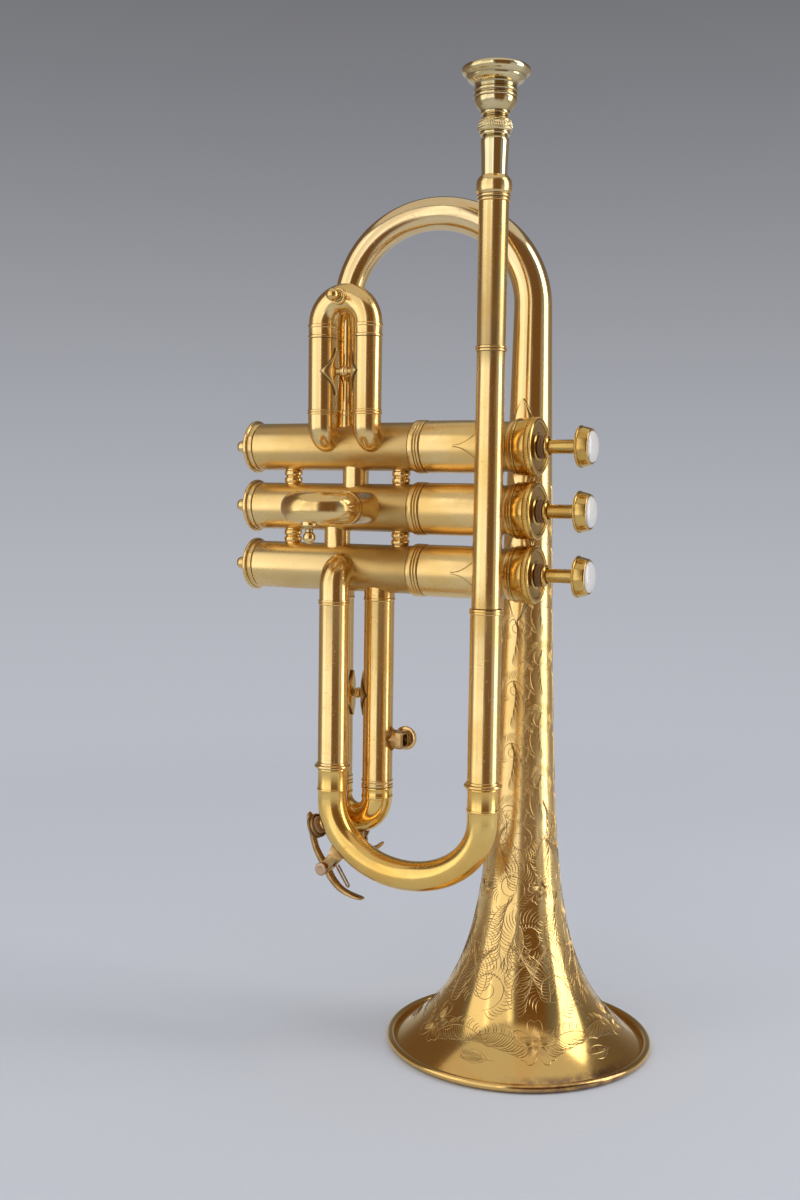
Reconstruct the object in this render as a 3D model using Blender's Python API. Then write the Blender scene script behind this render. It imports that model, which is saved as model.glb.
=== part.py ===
"""Trumpet: bell, leadpipe, three piston valves, four slides, two water keys and a lyre socket.

All sizes are millimetres, turned into metres when a mesh is made. The bell's axis is
the working Z axis. The valves lie along X with their buttons at +X, and the player's
side of the valves, with the leadpipe, is at -Y.
"""
import math

import bmesh
import bpy
from mathutils import Vector

MM = 0.001
X = Vector((1, 0, 0))
Y = Vector((0, 1, 0))
Z = Vector((0, 0, 1))

# Fits
GAP = 0.3               # between pieces that are soldered, screwed or pressed together
SLIDE_PLAY = 0.3        # on the radius, between a sliding leg and its sleeve
PISTON_PLAY = 0.3       # on the radius, between a piston and its casing
STEM_PLAY = 0.3         # on the radius, between a stem and its cap
PIN_PLAY = 0.3          # on the radius, between a screw and its hole

# Facets
BELL_SIDES = 24
VALVE_SIDES = 16
TUBE_SIDES = 12
SMALL_SIDES = 8
WIRE_SIDES = 4          # round a spring's wire
HAIRPIN_SIDES = 6       # round a key spring's wire, and sections in its turn
BEND_STEPS = 4          # sections in a quarter turn
BOW_STEPS = 10          # sections in the bell's bow
TUNING_BOW_STEPS = 12
BELL_STEPS = 12         # sections of the flare and pipe, closest at the rim
BELL_STEP_POWER = 2.4
SPRING_POINTS = 8       # sections in a turn of a valve spring

# Bell: outer radius = pipe radius - taper * z + (mouth - pipe) * (length / (z + length)) ** power
RIM_WIRE_RADIUS = 1.65
RIM_WIRE_RING = 57.1    # radius of the wire's centreline
RIM_FOOT_INNER = 55.6   # flat ring that the bell stands on
RIM_FOOT_OUTER = 57.4
RIM_WIRE_ANGLES = (-45, 0, 45, 90, 145, 190)
BELL_MOUTH_RADIUS = 56.8
BELL_PIPE_RADIUS = 14.946
BELL_TAPER = 0.0208
BELL_FLARE_LENGTH = 186.79
BELL_FLARE_POWER = 7.098
BELL_WALL = 0.5
BELL_EDGE_HEIGHT = 1.3  # where the flare meets the rim wire
BOW_RISE = 60.2         # from the first valve's axis up to the bow's first point
BOW_END_RADIUS = 5.95
BELL_LEG_X = -77.5      # where the bow comes down on the first casing
BELL_FERRULE_RADIUS = 6.6
BELL_FERRULE_RISE = 15.4

# Valves, from the bottom cap at -X to the finger button at +X
VALVE_3_HEIGHT = 209.74
VALVE_SPACING = 26.616
BELL_TO_CAP = 1.1       # clear space between the bell's pipe and a top cap
CASING_RADIUS = 10.5
CASING_BORE = 8.9
CASING_BOTTOM = -120.24
BAND_START = -42.3
BAND_LENGTH = 5.3
BAND_RADIUS = 11.5
BAND_GROOVE_RADIUS = 10.9
BAND_PLAIN = 0.43       # share of the band before its grooves
BAND_GROOVES = ((0.5, 0.62), (0.73, 0.85))  # shares at which a groove ends and a crest follows
BARREL_RADIUS = 11.2
BARREL_END = -14.0
NECK_START = -8.2
CASING_RIM_START = 2.26
CASING_RIM_LENGTH = 1.9
CASING_RIM_RADIUS = 11.3
SPIGOT_RADIUS = 10.4    # threaded end inside the top cap
SPIGOT_LENGTH = 7.1
PORT_RADIUS = 4.6
BOTTOM_CAP_LENGTH = 3.75
BOTTOM_FLANGE_RADIUS = 11.75
BOTTOM_FLANGE_LENGTH = 1.5
BOTTOM_SPIGOT_LENGTH = 2.0
BOTTOM_SPIGOT_WALL = 1.0
BOTTOM_DOME_LENGTH = 2.5
NIPPLE_RADIUS = 2.8
NIPPLE_LENGTH = 8.95
TOP_CAP_RADIUS = 12.1
TOP_CAP_LENGTH = 9.4
TOP_CAP_BEVEL = 0.9
KNURL_RISE = 0.2
KNURL_START = 5.0
KNURL_LENGTH = 3.0
CAP_HUB_RADIUS = 4.6
CAP_HUB_LENGTH = 4.4
FELT_RADIUS = 6.0
FELT_LENGTH = 2.3
STEM_RADIUS = 2.9
VALVE_STROKE = 12.0
BUTTON_CLEARANCE = 0.55  # left between button and hub when the valve is down
BUTTON_FLANGE_RADIUS = 8.8
BUTTON_FLANGE_LENGTH = 2.15
BUTTON_BODY_RADIUS = 8.3
BUTTON_TOP_RADIUS = 7.25
BUTTON_BODY_LENGTH = 3.4
PEARL_RADIUS = 6.5
PEARL_DEPTH = 1.7
PEARL_DOME = 1.9
PEARL_ANGLES = (0, 25, 50, 75)
PISTON_HEADROOM = 0.8
PISTON_BOTTOM = -97.0
PISTON_CORE_TOP = -50.0
PISTON_WALL = 0.7
PISTON_ROOF = 2.0
PISTON_VENT_RADIUS = 3.0
PISTON_PASSAGES = (-84.0, -72.0, -60.0)
SPRING_WELL_DEPTH = 5.0
SPRING_WELL_WALL = 1.2
STUB_RADIUS = 1.7
STUB_LENGTH = 3.0
VALVE_SPRING_WIRE = 0.5
VALVE_SPRING_TURNS = 4

# Valve block fittings
CROSSOVER_RADIUS = 5.8
CROSSOVER_WALL = 0.6
CROSSOVER_X = (-72.6, -81.6)
POST_X = (-104.4, -50.2)
POST_RADIUS = 3.8
POST_WAIST = 2.4
POST_BEAD_SHARE = 0.55
POST_WAIST_SHARE = 0.25

# Leadpipe side
LEADPIPE_X = -0.2
LEADPIPE_TO_CAP = 3.1
LEADPIPE_TOP_RADIUS = 6.1
LEADPIPE_WAIST_RADIUS = 5.75
LEADPIPE_FOOT_RADIUS = 6.2
LEADPIPE_WALL = 0.5
LEADPIPE_RISE = 96.4    # from the first valve's axis to the leadpipe's top
LEADPIPE_WAIST_RISE = 30.0
LEADPIPE_RING_RISE = 37.4
LEADPIPE_RING_LENGTH = 2.0
LEADPIPE_RING_RADIUS = 6.5
RECEIVER_LENGTH = 9.8
RECEIVER_RADIUS = 7.3
RECEIVER_FOOT_RADIUS = 6.6
RECEIVER_LIP_RADIUS = 6.3
RECEIVER_FOOT_SHARE = 0.14
RECEIVER_BULGE = ((0.2, 0.97), (0.5, 1.0), (0.82, 0.96))  # shares of its length and radius

# Mouthpiece, heights above the receiver's top edge
MOUTHPIECE_RIM_RADIUS = 13.85
MOUTHPIECE_HEIGHT = 42.5
MOUTHPIECE_RIM_LENGTH = 7.0
CUP_RADIUS = 8.35
CUP_TOP_RISE = 35.2
CUP_BOTTOM_RISE = 24.4
BEAD_RISES = (32.8, 30.7)
BEAD_RADIUS = 8.95
BEAD_HALF = 0.8
CUP_BORE_RADIUS = 8.2
THROAT_RADIUS = 1.85
THROAT_RISE = 25.4
NECK_RADIUS = 4.95
NECK_RISE = 22.9
KNURL_RING_RADIUS = 6.85
KNURL_RING_RISES = (16.9, 22.0)
COLLAR_RISE = 15.9
SHANK_TOP_RADIUS = 5.55
SHANK_RADIUS = 5.0      # at the receiver's top edge
SHANK_END_RADIUS = 4.7
SHANK_LENGTH = 21.0     # below the receiver's top edge
SHANK_WALL = 0.6
COLLAR_HALF = 0.5
COLLAR_HEIGHT = 0.6
KNURL_EDGE = 0.2
CUP_SHAPE = ((0, 0.7), (3.0, 0.94))         # height above the cup's bottom, share of its radius
RIM_BELOW = ((0, 0.66), (1.6, 0.82), (3.0, 0.88), (4.6, 1.0))   # height above its underside, share
RIM_ABOVE = ((1.4, 1.0), (0.3, 0.93), (0, 0.82), (0.4, 0.68))  # depth below the rim's top, share
BITE_DEPTH = 1.6                            # from the rim's top to the cup's widest bore
CUP_BORE_SHARES = (0.86, 0.62)              # at the cup's top and at its lower bead
THROAT_FLARE = ((1.5, 1.4), (0, 1.0))       # height above the throat, share of its radius

# Tuning slide
TUNING_SLEEVE_DROP = 13.4   # from the third valve's axis down to the sleeves' tops
TUNING_SLEEVE_LENGTH = 73.7
TUNING_SLEEVE_RADIUS = 6.6
SLEEVE_RING_RADIUS = 7.0
SLEEVE_RING_LENGTH = 2.0
SLEEVE_FLANGE_RADIUS = 8.05
SLEEVE_FLANGE_LENGTH = 2.5
TUNING_FERRULE_LENGTH = 10.2
TUNING_BOW_RADIUS = 6.4
TUNING_BOW_DEPTH = 28.2     # of the half ellipse, on the tube's centreline
TUNING_BOW_DROP = 4.1       # from the ferrule's end to the ellipse's level
TUNING_ENGAGED = 68.0       # length of leg inside each sleeve
ELBOW_BEND = 7.0
LOWER_LEG_X = -74.1

# First slide
FIRST_SLIDE_X = -70.9
FIRST_SLIDE_BEND = 11.0
FIRST_SLIDE_RADIUS = 6.15
FIRST_SLIDE_STANDOFF = 3.4
FIRST_ELBOW_RISE = 3.2
FIRST_ELBOW_BEND = 6.5
FIRST_ELBOW_STEPS = 3
FIRST_RING_RISE = 15.4
FIRST_RING_LENGTH = 2.0
FIRST_SLEEVE_RISE = 45.9
FIRST_FERRULE_LENGTH = 5.7
FIRST_ENGAGED = 29.0

# Second slide
SECOND_SLIDE_X = -73.1
SECOND_SLIDE_BEND = 10.9
SECOND_SLIDE_RADIUS = 6.8
SECOND_SLEEVE_REACH = 27.0   # from the valve's axis to the sleeves' ends
SECOND_RING_LENGTH = 1.4
SECOND_FERRULE_LENGTH = 1.6
SECOND_ENGAGED = 15.0

# Third slide
THIRD_SLIDE_X = -70.2
THIRD_SLIDE_BEND = 10.1
THIRD_SLIDE_RADIUS = 6.7
THIRD_SLEEVE_DROP = 96.7     # from the valve's axis to the sleeves' ends
THIRD_RING_DROP = 14.0
THIRD_RING_LENGTH = 3.0
THIRD_FERRULE_LENGTH = 5.2
THIRD_ENGAGED = 72.0

SLIDE_WALL = 0.55
RING_RISE = 0.35        # how far a ferrule or ring stands out from its tube

# Pull knobs on the first and second crooks
KNOB_COLLAR_RADIUS = 3.6
KNOB_NECK_RADIUS = 1.7
KNOB_BALL_RADIUS = 2.7
KNOB_LENGTH = 8.2
KNOB_SINK = 0.8         # share of the tube's radius at which the knob starts
KNOB_COLLAR_LENGTH = 0.9
KNOB_NECK_START = 1.5
KNOB_BALL_START = 0.8   # share of the ball's radius where the neck ends
KNOB_ANGLES = (-30, 0, 30, 60)

# Braces
PLATE = 0.8             # thickness of a brace's foot
BRACE_POST_RADIUS = 3.0
BRACE_X = -1.7
BRACE_FOOT_MARGIN = 1.2
BELL_BRACE_POST_SHARE = 0.7
BRACE_FOOT_SHARES = (0, 0.35, 0.65, 0.85, 1)
LEADPIPE_BRACE_TIP = -20.8
LEADPIPE_BRACE_WIDE = -10.7
LEADPIPE_BRACE_HALF = 6.6
LEADPIPE_BRACE_END = 1.4
BELL_BRACE_HALF_LENGTH = 21.0
BELL_BRACE_HALF_WIDTH = 5.5
SLIDE_BRACE_HALF_LENGTH = 10.0
SLIDE_BRACE_HALF_WIDTH = 4.6
SLIDE_BRACE_BEAD = 2.4
SLIDE_BRACE_POST = 1.5
SLIDE_BRACE_WAIST_SHARE = 0.3
SLIDE_BRACE_BEAD_SHARE = 0.42
FIRST_BRACE_RISE = 31.8
THIRD_BRACE_DROP = 56.0

# Lyre socket on the third slide's outer sleeve
LYRE_DROP = 75.2        # from the third valve's axis to the socket's axis
LYRE_BOX = 7.7
LYRE_LENGTH = 6.3
LYRE_HOLE = 4.8
LYRE_FLOOR = 1.5
LYRE_FOOT_ANGLE = 29.0
LYRE_FOOT_HALF = 5.2
LYRE_SCREW_RADIUS = 1.3
LYRE_HEAD_RADIUS = 5.3
LYRE_HEAD_LENGTH = 1.8

# Water keys: angles run round a slide's bow from its -X leg
KEY_WIDTH = 4.0
KEY_THICK = 3.0
KEY_PIVOT_RADIUS = 2.9
KEY_SCREW_RADIUS = 1.2
KEY_HEAD_RADIUS = 2.9
KEY_HEAD_LENGTH = 1.2
KEY_HEAD_EDGE = (0.7, 0.85)     # shares of the head's length and radius at its edge
KEY_CHEEK = 1.3
KEY_CHEEK_SINK = 1.3    # into the bow's tube
KEY_CHEEK_TOP = 0.9     # share of the pivot's radius
KEY_CHEEK_OUTLINE = ((1, 0.3), (0.5, 1), (-0.5, 1), (-1, 0.3))  # along and out, in shares of the top
KEY_CHEEK_FOOT = 1.5    # half length of the foot, in shares of the top
KEY_CUP_RADIUS = 5.4
KEY_CUP_LENGTH = 3.4
KEY_CUP_WALL = 1.0
KEY_CUP_BACK_SHARE = 0.6
KEY_CUP_EDGE = 0.8
KEY_NIPPLE_RADIUS = 2.6
KEY_NIPPLE_LENGTH = 2.0
KEY_NIPPLE_BORE = 1.2
KEY_NIPPLE_SINK = 0.8
KEY_DRAIN_DEPTH = 3.0
CUT_OVERRUN = 1.0       # of a cutter past what it cuts
KEY_ARM_SINK = 0.4      # of the lever into its cup
KEY_TIP_ANGLE = 9.0     # of the lever's tip beyond its cup
KEY_TIP_DROP = 0.6
KEY_ARCH = 0.6          # rise of the lever between its cup and its pivot
KEY_TIP_SCALE = 0.55
KEY_TAIL_SCALE = 0.5
TUNING_CUP_ANGLE = 18.0
TUNING_PIVOT_ANGLE = 40.0
TUNING_PIVOT_OUT = 10.6     # from the bow tube's surface to the pivot
TUNING_TAIL = ((46.0, 12.2), (53.0, 13.0), (60.0, 12.0), (66.5, 10.6))
THIRD_CUP_ANGLE = 50.0
THIRD_PIVOT_ANGLE = 95.0
THIRD_PIVOT_OUT = 6.6
THIRD_TAIL = ((104.0, 7.8), (114.0, 8.2), (124.0, 7.2))
KEY_SPRING_WIRE = 0.4
KEY_SPRING_LEAD = 4.0       # degrees past the pivot, and short of the tail's seat
KEY_SPRING_SPREAD = 2.0     # between the two strands
KEY_SPRING_DROP = 2.0       # of the strands' ends under the pivot

# Places worked out from the sizes above
VALVE_HEIGHTS = [VALVE_3_HEIGHT + VALVE_SPACING * k for k in (2, 1, 0)]
BOTTOM_CAP_TOP = CASING_BOTTOM - GAP
BOTTOM_FLANGE_END = BOTTOM_CAP_TOP - BOTTOM_CAP_LENGTH
NIPPLE_END = BOTTOM_FLANGE_END - NIPPLE_LENGTH
CASING_RIM_END = CASING_RIM_START + CASING_RIM_LENGTH
CASING_TOP = CASING_RIM_END + SPIGOT_LENGTH
TOP_CAP_START = CASING_RIM_END + GAP
TOP_CAP_FACE = TOP_CAP_START + TOP_CAP_LENGTH
CAP_ROOF = CASING_TOP + GAP
HUB_END = TOP_CAP_FACE + CAP_HUB_LENGTH
PISTON_TOP = CAP_ROOF - PISTON_HEADROOM
BUTTON_START = HUB_END + BUTTON_CLEARANCE + VALVE_STROKE
BUTTON_TOP = BUTTON_START + BUTTON_FLANGE_LENGTH + BUTTON_BODY_LENGTH
SADDLE_RADIUS = CASING_RADIUS + GAP


def bell_radius(z):
    """Outer radius of the bell at height z."""
    flare = (BELL_FLARE_LENGTH / (z + BELL_FLARE_LENGTH)) ** BELL_FLARE_POWER
    return BELL_PIPE_RADIUS - BELL_TAPER * z + (BELL_MOUTH_RADIUS - BELL_PIPE_RADIUS) * flare


VALVE_Y = -(bell_radius(VALVE_3_HEIGHT) + BELL_TO_CAP + TOP_CAP_RADIUS + KNURL_RISE)
LEADPIPE_Y = VALVE_Y - TOP_CAP_RADIUS - KNURL_RISE - LEADPIPE_TO_CAP - LEADPIPE_WAIST_RADIUS
LOWER_LEG_Y = VALVE_Y - math.sqrt(SADDLE_RADIUS ** 2 - TUNING_SLEEVE_RADIUS ** 2) - ELBOW_BEND - GAP
FIRST_SLIDE_Y = VALVE_Y - SADDLE_RADIUS - FIRST_SLIDE_STANDOFF
SECOND_SLEEVE_END = VALVE_Y - SECOND_SLEEVE_REACH
SECOND_BEND_Y = SECOND_SLEEVE_END - GAP - SECOND_FERRULE_LENGTH
SECOND_FRONT = SECOND_BEND_Y - SECOND_SLIDE_BEND - SECOND_SLIDE_RADIUS
RIM_RADIUS = RIM_WIRE_RING + RIM_WIRE_RADIUS
FRAME_SHIFT = Vector((-(NIPPLE_END + RIM_RADIUS) / 2, -(SECOND_FRONT + RIM_RADIUS) / 2, 0))
SLEEVE_TOP = VALVE_HEIGHTS[2] - TUNING_SLEEVE_DROP
LEADPIPE_FOOT = SLEEVE_TOP + GAP
LEADPIPE_TOP = VALVE_HEIGHTS[0] + LEADPIPE_RISE
RECEIVER_START = LEADPIPE_TOP + GAP
RECEIVER_TOP = RECEIVER_START + RECEIVER_LENGTH
SLEEVE_END = SLEEVE_TOP - TUNING_SLEEVE_LENGTH
FERRULE_TOP = SLEEVE_END - GAP
FERRULE_END = FERRULE_TOP - TUNING_FERRULE_LENGTH
TUNING_LEVEL = FERRULE_END - TUNING_BOW_DROP
FIRST_SLEEVE_END = VALVE_HEIGHTS[0] + FIRST_SLEEVE_RISE
FIRST_LEVEL = FIRST_SLEEVE_END + GAP + FIRST_FERRULE_LENGTH
THIRD_SLEEVE_END = VALVE_HEIGHTS[2] - THIRD_SLEEVE_DROP
THIRD_LEVEL = THIRD_SLEEVE_END - GAP - THIRD_FERRULE_LENGTH

FINISHES = {
    "satin_gold": ((0.78, 0.55, 0.22), 0.32, 1.0),
    "bright_gold": ((0.84, 0.61, 0.26), 0.16, 1.0),
    "pale_gold": ((0.82, 0.73, 0.50), 0.16, 1.0),
    "bronze": ((0.42, 0.27, 0.13), 0.42, 1.0),
    "nickel": ((0.66, 0.65, 0.62), 0.25, 1.0),
    "steel": ((0.50, 0.49, 0.47), 0.35, 1.0),
    "pearl": ((0.88, 0.86, 0.82), 0.25, 0.0),
    "felt": ((0.03, 0.03, 0.03), 0.95, 0.0),
    "cork": ((0.55, 0.38, 0.22), 0.90, 0.0),
}
SMOOTH_ANGLE = math.radians(35)
TIP_HALF_WIDTH = 0.4    # how blunt a pointed plate's tip is
TIP_POWER = 1.6         # how hollow a pointed plate's sides are
FOOT_STEPS = 4          # facets across a curved plate
HEART_RADIUS = 0.4      # middle of a hollowed end face
POINT_SHARES = (-1, -0.7, -0.4, -0.15, 0.15, 0.4, 0.7, 1)  # sections along a pointed plate
SLOPE_STEP = 0.01       # over which the flare's slope is taken
CHAMFER = 0.8           # on a lever's edges


def material(finish):
    """The Principled material of a finish, made once."""
    found = bpy.data.materials.get(finish)
    if found:
        return found
    colour, roughness, metallic = FINISHES[finish]
    made = bpy.data.materials.new(finish)
    made.use_nodes = True
    shader = made.node_tree.nodes["Principled BSDF"]
    shader.inputs["Base Color"].default_value = (*colour, 1.0)
    shader.inputs["Roughness"].default_value = roughness
    shader.inputs["Metallic"].default_value = metallic
    return made


def make(name, rings, finish=None, closed=False, origin=None):
    """One object skinned over a row of rings, capped at both ends or run round to the start."""
    pivot = origin.copy() if origin else -FRAME_SHIFT
    mesh = bpy.data.meshes.new(name)
    bm = bmesh.new()
    rows = [[bm.verts.new((point - pivot) * MM) for point in ring] for ring in rings]
    following = rows[1:] + rows[:1] if closed else rows[1:]
    for ring, after in zip(rows, following):
        for k in range(len(ring)):
            nxt = (k + 1) % len(ring)
            bm.faces.new((ring[k], ring[nxt], after[nxt], after[k]))
    if not closed:
        bm.faces.new(rows[0])
        bm.faces.new(rows[-1])
    bmesh.ops.recalc_face_normals(bm, faces=bm.faces[:])
    bm.to_mesh(mesh)
    bm.free()
    mesh.shade_smooth()
    mesh.set_sharp_from_angle(angle=SMOOTH_ANGLE)
    piece = bpy.data.objects.new(name, mesh)
    piece.location = (pivot + FRAME_SHIFT) * MM
    bpy.context.scene.collection.objects.link(piece)
    if finish:
        mesh.materials.append(material(finish))
    return piece


def combine(piece, rings, operation, closed=False):
    """Add a hidden shape to a piece, or cut it away, with a Boolean."""
    tool = make(f"{piece.name}_tool_{len(piece.modifiers)}", rings, closed=closed)
    tool.hide_render = True
    tool.display_type = "WIRE"
    modifier = piece.modifiers.new(tool.name, "BOOLEAN")
    modifier.object = tool
    modifier.operation = operation
    modifier.solver = "EXACT"


def circle(centre, first, second, radius, sides):
    """Points of a round ring."""
    turns = [2 * math.pi * k / sides for k in range(sides)]
    return [centre + (first * math.cos(t) + second * math.sin(t)) * radius for t in turns]


def turned(base, axis, profile, sides):
    """Rings of a turned shape; the profile holds (distance along the axis, radius)."""
    first = X if abs(axis.dot(X)) < 0.5 else Z
    first = (first - axis * first.dot(axis)).normalized()
    second = axis.cross(first)
    return [circle(base + axis * d, first, second, r, sides) for d, r in profile]


def rod(start, end, radius, sides):
    """Rings of a plain round bar."""
    axis = (end - start).normalized()
    return turned(start, axis, ((0, radius), ((end - start).length, radius)), sides)


def run(start, heading, marks):
    """Stations along a straight tube; each mark is (distance, radius)."""
    return [(start + heading * d, heading, r) for d, r in marks]


def bend(centre, arm, heading, degrees, steps, first_radius, last_radius):
    """Stations round a circular bend; the arm points from the centre to the first station."""
    stations = []
    for k in range(steps + 1):
        share = k / steps
        angle = math.radians(degrees) * share
        point = centre + arm * math.cos(angle) + heading * arm.length * math.sin(angle)
        ahead = heading * math.cos(angle) - arm.normalized() * math.sin(angle)
        stations.append((point, ahead, first_radius + (last_radius - first_radius) * share))
    return stations


def sweep(stations, normal, sides):
    """Rings of a tube whose path lies in the plane with this normal."""
    return [circle(p, normal, ahead.cross(normal), r, sides) for p, ahead, r in stations]


def saddle(ring, heading, centre, axis, radius):
    """Slide a ring's points along the heading until they lie on the near side of a cylinder."""
    placed = []
    for point in ring:
        arm = point - centre
        arm -= axis * arm.dot(axis)
        reach = arm.dot(heading)
        depth = reach * reach - arm.length_squared + radius * radius
        placed.append(point - heading * (reach + math.sqrt(depth)))
    return placed


def valve_axis(k):
    """A point on the axis of valve k, where x is 0."""
    return Vector((0, VALVE_Y, VALVE_HEIGHTS[k]))


def on_casing(ring, heading, k, radius=SADDLE_RADIUS):
    """Seat a ring on casing k."""
    return saddle(ring, heading, valve_axis(k), X, radius)


def rim_profile():
    """Profile of the rim: the flat foot and the wire over it."""
    profile = [(0, RIM_FOOT_INNER), (0, RIM_FOOT_OUTER)]
    for angle in RIM_WIRE_ANGLES:
        turn = math.radians(angle)
        rise = RIM_WIRE_RADIUS * (1 + math.sin(turn))
        profile.append((rise, RIM_WIRE_RING + RIM_WIRE_RADIUS * math.cos(turn)))
    return profile


def bell_bore(z):
    """Height and radius of the bell's inner wall, square to the outer wall at height z."""
    slope = (bell_radius(z + SLOPE_STEP) - bell_radius(z - SLOPE_STEP)) / (2 * SLOPE_STEP)
    lean = math.sqrt(1 + slope * slope)
    return z + BELL_WALL * slope / lean, bell_radius(z) - BELL_WALL / lean


def bell():
    """Flare with its rim wire, tapering pipe and bow, down to the first casing."""
    top = VALVE_HEIGHTS[0] + BOW_RISE
    rim = rim_profile()
    shares = [(k / BELL_STEPS) ** BELL_STEP_POWER for k in range(BELL_STEPS)]
    heights = [BELL_EDGE_HEIGHT + (top - BELL_EDGE_HEIGHT) * share for share in shares]
    outer = [(z, bell_radius(z)) for z in heights]
    inner = [bell_bore(z) for z in heights]
    across = Vector((BELL_LEG_X, VALVE_Y, 0))
    normal = Z.cross(across).normalized()
    middle = across / 2 + Z * top
    first = bell_radius(top)
    bow = bend(middle, -across / 2, Z, 180, BOW_STEPS, first, BOW_END_RADIUS)
    bore_end = BOW_END_RADIUS - BELL_WALL
    bow_bore = bend(middle, -across / 2, Z, 180, BOW_STEPS, first - BELL_WALL, bore_end)
    drop = BOW_RISE - BELL_FERRULE_RISE
    leg = run(across + Z * top, -Z, ((drop, BOW_END_RADIUS), (drop, BELL_FERRULE_RADIUS),
                                     (BOW_RISE - SADDLE_RADIUS, BELL_FERRULE_RADIUS)))
    end_bore = run(across + Z * top, -Z, ((BOW_RISE - SADDLE_RADIUS, bore_end),))
    skin = sweep(run(Vector(), Z, rim + outer) + bow + leg, normal, BELL_SIDES)
    bore = sweep(run(Vector(), Z, inner) + bow_bore + end_bore, normal, BELL_SIDES)
    skin[-1] = on_casing(skin[-1], -Z, 0)
    bore[-1] = on_casing(bore[-1], -Z, 0)
    make("bell", skin + bore[::-1], "bright_gold", closed=True)


def casing_radius(x):
    """Outer radius of a casing's upper barrel and neck."""
    share = (x - BARREL_END) / (NECK_START - BARREL_END)
    share = min(max(share, 0), 1)
    return BARREL_RADIUS + (CASING_RADIUS - BARREL_RADIUS) * share


def casing_ports(k):
    """Where tubes enter casing k, as (x, height above the axis, direction)."""
    above = [(BELL_LEG_X, 0, Z)] if k == 0 else [(CROSSOVER_X[k - 1], 0, Z)]
    if k == 0:
        slide = [(x, FIRST_ELBOW_RISE, -Y) for x in slide_legs(FIRST_SLIDE_X, FIRST_SLIDE_BEND)]
    elif k == 1:
        slide = [(x, 0, -Y) for x in slide_legs(SECOND_SLIDE_X, SECOND_SLIDE_BEND)]
    else:
        slide = [(x, 0, -Z) for x in slide_legs(THIRD_SLIDE_X, THIRD_SLIDE_BEND)]
    below = [(CROSSOVER_X[k], 0, -Z)] if k < 2 else [(LOWER_LEG_X, 0, -Y)]
    return above + slide + below


def slide_legs(middle, half):
    """The two places of a slide's legs."""
    return (middle - half, middle + half)


def valve_casing(k):
    """Casing with its ringed band, barrel, neck, rim, threaded end and ports."""
    profile = [(CASING_BOTTOM, CASING_RADIUS), (BAND_START, CASING_RADIUS)]
    profile += [(BAND_START, BAND_RADIUS), (BAND_START + BAND_PLAIN * BAND_LENGTH, BAND_RADIUS)]
    for groove, crest in BAND_GROOVES:
        profile.append((BAND_START + groove * BAND_LENGTH, BAND_GROOVE_RADIUS))
        profile.append((BAND_START + crest * BAND_LENGTH, BAND_RADIUS))
    profile += [(BAND_START + BAND_LENGTH, BARREL_RADIUS), (BARREL_END, BARREL_RADIUS)]
    profile += [(NECK_START, CASING_RADIUS), (CASING_RIM_START, CASING_RADIUS)]
    profile += [(CASING_RIM_START, CASING_RIM_RADIUS), (CASING_RIM_END, CASING_RIM_RADIUS)]
    profile += [(CASING_RIM_END, SPIGOT_RADIUS), (CASING_TOP, SPIGOT_RADIUS)]
    profile += [(CASING_TOP, CASING_BORE), (CASING_BOTTOM, CASING_BORE)]
    rings = turned(valve_axis(k), X, profile, VALVE_SIDES)
    casing = make(f"valve_casing_{k + 1}", rings, "satin_gold", closed=True)
    for x, rise, heading in casing_ports(k):
        middle = valve_axis(k) + X * x + Z * rise
        start = middle + heading * (CASING_BORE - PORT_RADIUS / 2)
        end = middle + heading * (CASING_RADIUS + PORT_RADIUS / 2)
        combine(casing, rod(start, end, PORT_RADIUS, SMALL_SIDES), "DIFFERENCE")


def bottom_cap(k):
    """Screwed cap with a flange, a domed end, a nipple and a seat for the spring."""
    outer = CASING_BORE - GAP
    bore = outer - BOTTOM_SPIGOT_WALL
    flange_top = BOTTOM_FLANGE_END + BOTTOM_FLANGE_LENGTH
    spigot_end = BOTTOM_CAP_TOP + BOTTOM_SPIGOT_LENGTH
    profile = ((NIPPLE_END, NIPPLE_RADIUS), (BOTTOM_FLANGE_END - BOTTOM_DOME_LENGTH, NIPPLE_RADIUS),
               (BOTTOM_FLANGE_END, CASING_RADIUS), (BOTTOM_FLANGE_END, BOTTOM_FLANGE_RADIUS),
               (flange_top, BOTTOM_FLANGE_RADIUS), (flange_top, CASING_RADIUS),
               (BOTTOM_CAP_TOP, CASING_RADIUS), (BOTTOM_CAP_TOP, outer), (spigot_end, outer),
               (spigot_end, bore), (flange_top, bore))
    make(f"bottom_cap_{k + 1}", turned(valve_axis(k), X, profile, VALVE_SIDES), "satin_gold")


def top_cap(k):
    """Screwed cap with a gripping band, a bevelled face and a hub round the stem."""
    grip = TOP_CAP_RADIUS + KNURL_RISE
    grip_start = TOP_CAP_START + KNURL_START
    grip_end = grip_start + KNURL_LENGTH
    hole = STEM_RADIUS + STEM_PLAY
    bore = SPIGOT_RADIUS + GAP
    profile = ((TOP_CAP_START, TOP_CAP_RADIUS), (grip_start, TOP_CAP_RADIUS), (grip_start, grip),
               (grip_end, grip), (grip_end, TOP_CAP_RADIUS), (TOP_CAP_FACE - TOP_CAP_BEVEL, TOP_CAP_RADIUS),
               (TOP_CAP_FACE, TOP_CAP_RADIUS - TOP_CAP_BEVEL), (TOP_CAP_FACE, CAP_HUB_RADIUS),
               (HUB_END, CAP_HUB_RADIUS), (HUB_END, hole), (CAP_ROOF, hole), (CAP_ROOF, bore),
               (TOP_CAP_START, bore))
    make(f"top_cap_{k + 1}", turned(valve_axis(k), X, profile, VALVE_SIDES), "satin_gold", closed=True)


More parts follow.
